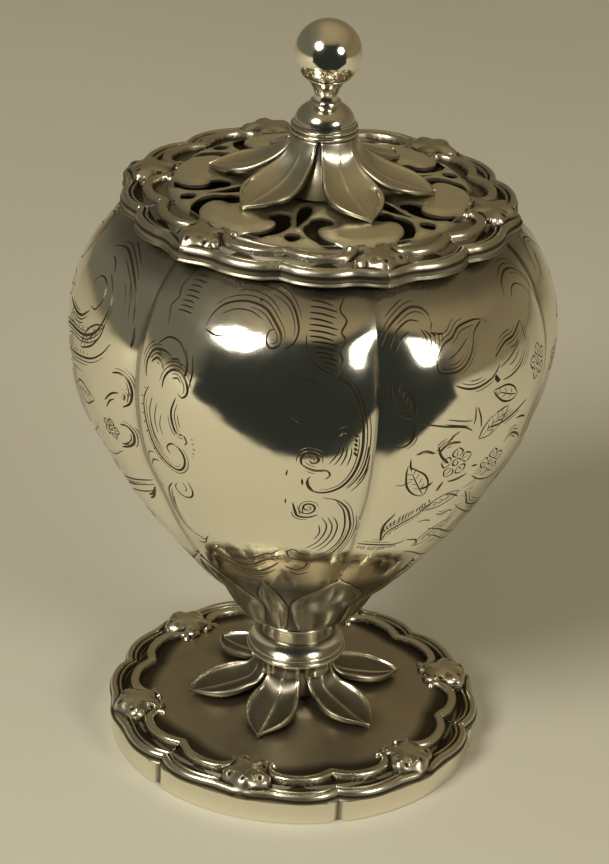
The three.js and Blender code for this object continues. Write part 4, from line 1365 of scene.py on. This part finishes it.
def leaf_piece(
    name, node, body, middle, route, half_width, widest, root_share, rim, rib, dish, tip_lift, tarnish
):
    """A cast leaf: a trough along a route of [radius, z], with a rolled rim and a midrib.

    It is half_width at the share "widest" of its length, and root_share of that at the root. rim and rib are
    their heights, dish how far its sides stand up, tip_lift how far its tip does.
    """
    path = spline(route, 0.45)
    length = np.concatenate([[0], np.cumsum(np.hypot(*np.diff(path, axis=0).T))])
    t = length / length[-1]
    way = np.gradient(path, axis=0)
    way /= np.linalg.norm(way, axis=1, keepdims=True)
    power = math.log(0.5) / math.log(widest)
    width = half_width * (np.sin(math.pi * np.clip(t, 0, 1) ** power) ** 0.85 + root_share * (1 - t) ** 2)
    width = np.maximum(width, 0.10)
    x = np.concatenate([np.linspace(-1, -0.76, 12), np.linspace(-0.7, 0.7, 33), np.linspace(0.76, 1, 12)])
    across, share = np.meshgrid(x, t)
    full = np.clip(width / half_width, 0, 1)[:, None]
    rolled = rim * np.exp(-(((np.abs(across) - 0.91) / 0.075) ** 2))
    lift = dish * across**2 + rolled + rib * np.exp(-((across / 0.06) ** 2))
    free = smooth(share, 0.0, 0.42)  # the root hugs the stem and the leaf opens out of it
    lift = lift * (0.35 + 0.65 * full) * (0.1 + 0.9 * free) + tip_lift * smooth(share, 0.7, 1)
    lift = lift - 0.9 * rim * np.clip(np.abs(across) - 0.93, 0, 1) / 0.07 * full
    out = np.array(polar(1, middle))
    side = np.array([-out[1], out[0]])
    layers = []
    for offset, order in ((0.0, slice(None)), (-0.75, slice(None, None, -1))):
        h = lift if offset == 0 else 0.6 * dish * across**2 * free + offset + tip_lift * smooth(share, 0.7, 1)
        r = path[:, 0][:, None] - way[:, 1][:, None] * h
        z = path[:, 1][:, None] + way[:, 0][:, None] * h
        s = across * width[:, None]
        bend = s / r * (1 - free)
        ahead, aside = r * np.cos(bend), r * np.sin(bend) + s * free
        px = out[0] * ahead + side[0] * aside
        py = out[1] * ahead + side[1] * aside
        layers.append(np.stack([px, py, z], -1)[:, order])
    both = np.concatenate(layers, 1)
    rows, columns = both.shape[:2]
    faces = [list(f) for f in grid_faces(rows, columns, wrap_columns=True)]
    faces.append(list(range(columns))[::-1])
    faces.append(list(range((rows - 1) * columns, rows * columns)))
    # Darker inside the trough by the tarnish amount; painted shade at the root, where the leaf hugs the stem,
    # and along its outer edge.
    cavity = tarnish * (1 - smooth(np.abs(across), 0.74, 0.88)) * smooth(np.abs(across), 0.02, 0.12)
    cavity = cavity + 0.30 * (1 - smooth(share, 0, 0.15)) + 0.50 * smooth(np.abs(across), 0.96, 1)
    patina_and_shade = np.concatenate([cavity, np.full(across.shape, 0.6)], 1).ravel()
    return piece(name, both.reshape(-1, 3), faces, [cast], body, [node], patina_and_shade, 0)


def make_leaves():
    foot_route = [
        (8.8, 17.4), (9.1, 15.2), (10.4, 13.1), (13.2, 11.9), (16.8, 11.1), (20.8, 10.4), (24.9, 10.0),
    ]
    cover_route = [(6.95, 146.1), (8.0, 142.4), (10.4, 139.6), (14, 137.7), (19, 136.5), (24.4, 136.0)]
    foot_skew, cover_skew = (0, 0, 0, 0, -3, 0), (0, 0, 0, 0, 0, 7)  # none of them was set quite true
    for lobe in range(LOBES):
        middle = (lobe + 0.5) * LOBE_DEG
        leaf_piece(
            f"foot_leaf_{lobe + 1}_cast", f"foot_leaf_{lobe + 1}", "vase",
            middle + foot_skew[lobe] + rng.uniform(-0.8, 0.8), foot_route, half_width=5.0, widest=0.60,
            root_share=0.80, rim=0.26, rib=0.20, dish=1.9, tip_lift=0.3, tarnish=0.78,
        )
        leaf_piece(
            f"cover_leaf_{lobe + 1}_cast", f"lid_leaf_{lobe + 1}", "cover",
            middle + COVER_TURN + cover_skew[lobe] + rng.uniform(-0.8, 0.8), cover_route, half_width=5.6,
            widest=0.64, root_share=0.66, rim=0.14, rib=0.14, dish=1.2, tip_lift=-0.35, tarnish=0.2,
        )


# ---- turned parts ----

BALL_RADIUS = 7.1
BALL_CENTRE = 163.4


def grooves(profile_hollow):
    """Tarnish for a turned part, from [height, hollow] pairs."""
    heights, values = zip(*profile_hollow)
    return lambda profile: np.interp(profile[:, 1], heights, values)


def make_turned():
    bore = 6.6
    knop = [
        (bore, 11.2), (8.8, 11.3), (8.7, 13), (8.8, 15.2), (9.2, 17.6), (10.0, 19.3), (10.6, 19.9),
        (10.7, 20.2), *arc(10.75, 20.9, 0.62, -70, 80), (10.85, 21.7), *arc(10.55, 22.1, 0.45, -60, 80),
        (10.5, 22.7), (10.1, 23.2), (9.75, 23.9), (9.6, 24.5), (9.5, 24.8),
        *arc(9.5, 25.1, 0.3, -80, 80, 5), (9.2, 25.45), (bore, 25.5),
    ]
    turned_piece(
        "stem_knop_turned", knop, polished, "vase", ["stem_knop"], 128,
        grooves([
            (11, 0.7), (15, 0.5), (18, 0.2), (20, 0.5), (20.5, 0.1), (21.7, 0.5), (22.1, 0.1), (22.8, 0.5),
            (24, 0.15), (24.9, 0.5), (25.5, 0.3),
        ]),
    )
    neck = [
        (8.2, 25.55), (9.0, 25.55), (9.0, 28.2), (9.05, 28.6), *arc(9.1, 29.0, 0.35, -80, 80, 6), (9.1, 29.5),
        *arc(9.2, 29.85, 0.38, -70, 80, 6), (8.2, 30.28),
    ]
    turned_piece(
        "stem_neck_turned", neck, polished, "vase", ["stem_neck"], 128,
        grooves([
            (25.5, 0.5), (26.4, 0.1), (28, 0.1), (28.6, 0.5), (29, 0.1), (29.45, 0.6), (29.8, 0.1),
            (30.3, 0.6),
        ]),
    )
    mouth = [
        (36.6, 127.8), (37.35, 127.8), (37.4, 127.9), (37.4, 130.5), (37.3, 130.6), (36.6, 130.6),
        (36.5, 130.5), (36.5, 127.9),
    ]
    turned_piece("mouth_ring_turned", mouth, polished, "vase", ["mouth_ring"], 192)

    bezel = [
        (35.2, 124.1), (35.3, 124.0), (36.1, 124.0), (36.2, 124.1), (36.2, 131.2), (36.1, 131.3),
        (35.2, 131.3),
    ]
    turned_piece("cover_bezel_turned", bezel, polished, "cover", ["lid_bezel"], 192)
    cone = [
        (1.8, 146.2), (6.2, 146.2), (6.5, 144.5), (7.1, 142.2), (8.2, 139.8), (10, 137.6), (12.6, 135.5),
        (11.4, 135.5), (9, 137.2), (7.4, 139.2), (6.2, 142.2), (5.8, 145.4), (1.8, 145.4),
    ]
    turned_piece(
        "calyx_cone_turned", cone[::-1], cast, "cover", ["calyx_cone"], 128,
        grooves([(135.5, 0.8), (138, 0.4), (143, 0.15), (146.2, 0.15)]),
    )
    collar = [
        (1.8, 146.2), (7.0, 146.2), *arc(6.85, 146.75, 0.5, -70, 70, 7), (6.75, 147.3),
        *arc(6.7, 147.7, 0.42, -70, 75, 6), (6.6, 148.2), (6.5, 148.5), (6.45, 148.9), (1.8, 148.9),
    ]
    turned_piece(
        "finial_collar_turned", collar, polished, "cover", ["finial_collar"], 96,
        grooves([(146.2, 0.6), (146.7, 0.05), (147.25, 0.6), (147.7, 0.05), (148.2, 0.5), (148.9, 0.3)]),
    )
    stem = [
        (0, 148.9), (6.3, 148.95), (6.25, 149.5), (5.9, 150.3), (5.2, 151.2), (4.2, 152.0), (3.3, 152.5),
        *arc(2.85, 152.9, 0.42, -60, 70, 5), (2.6, 153.5), (2.5, 154.2), (2.62, 155.0), (3.0, 156.0),
        (3.6, 157.1), (4.15, 157.75), *arc(4.15, 158.1, 0.36, -60, 80, 6), (4.05, 158.6), (0, 158.6),
    ]
    turned_piece(
        "finial_stem_turned", stem, polished, "cover", ["finial_stem"], 96,
        grooves([
            (148.9, 0.5), (149.6, 0.1), (152.3, 0.3), (152.9, 0.1), (153.6, 0.4), (156, 0.1), (157.7, 0.35),
            (158.1, 0.05), (158.6, 0.5),
        ]),
    )
    start = math.degrees(math.asin((158.6 - BALL_CENTRE) / BALL_RADIUS))
    ball = [(0, 158.6), *arc(0, BALL_CENTRE, BALL_RADIUS, start, 89, 40), (0, BALL_CENTRE + BALL_RADIUS)]
    turned_piece(
        "finial_ball_turned", ball, polished, "cover", ["finial_ball"], 96,
        grooves([(158.6, 0.6), (159.6, 0.1), (162, 0.0), (170, 0.0)]), 0,
    )


make_foot()
make_turned()
make_body()
make_cover_plate()
make_cover_border()
make_leaves()

for hidden in ("finial_washer", "finial_nut", "finial_stud"):
    node = bpy.data.objects[hidden]
    node.data.materials.clear()
    node.data.materials.append(cast)


bpy.context.view_layer.update()
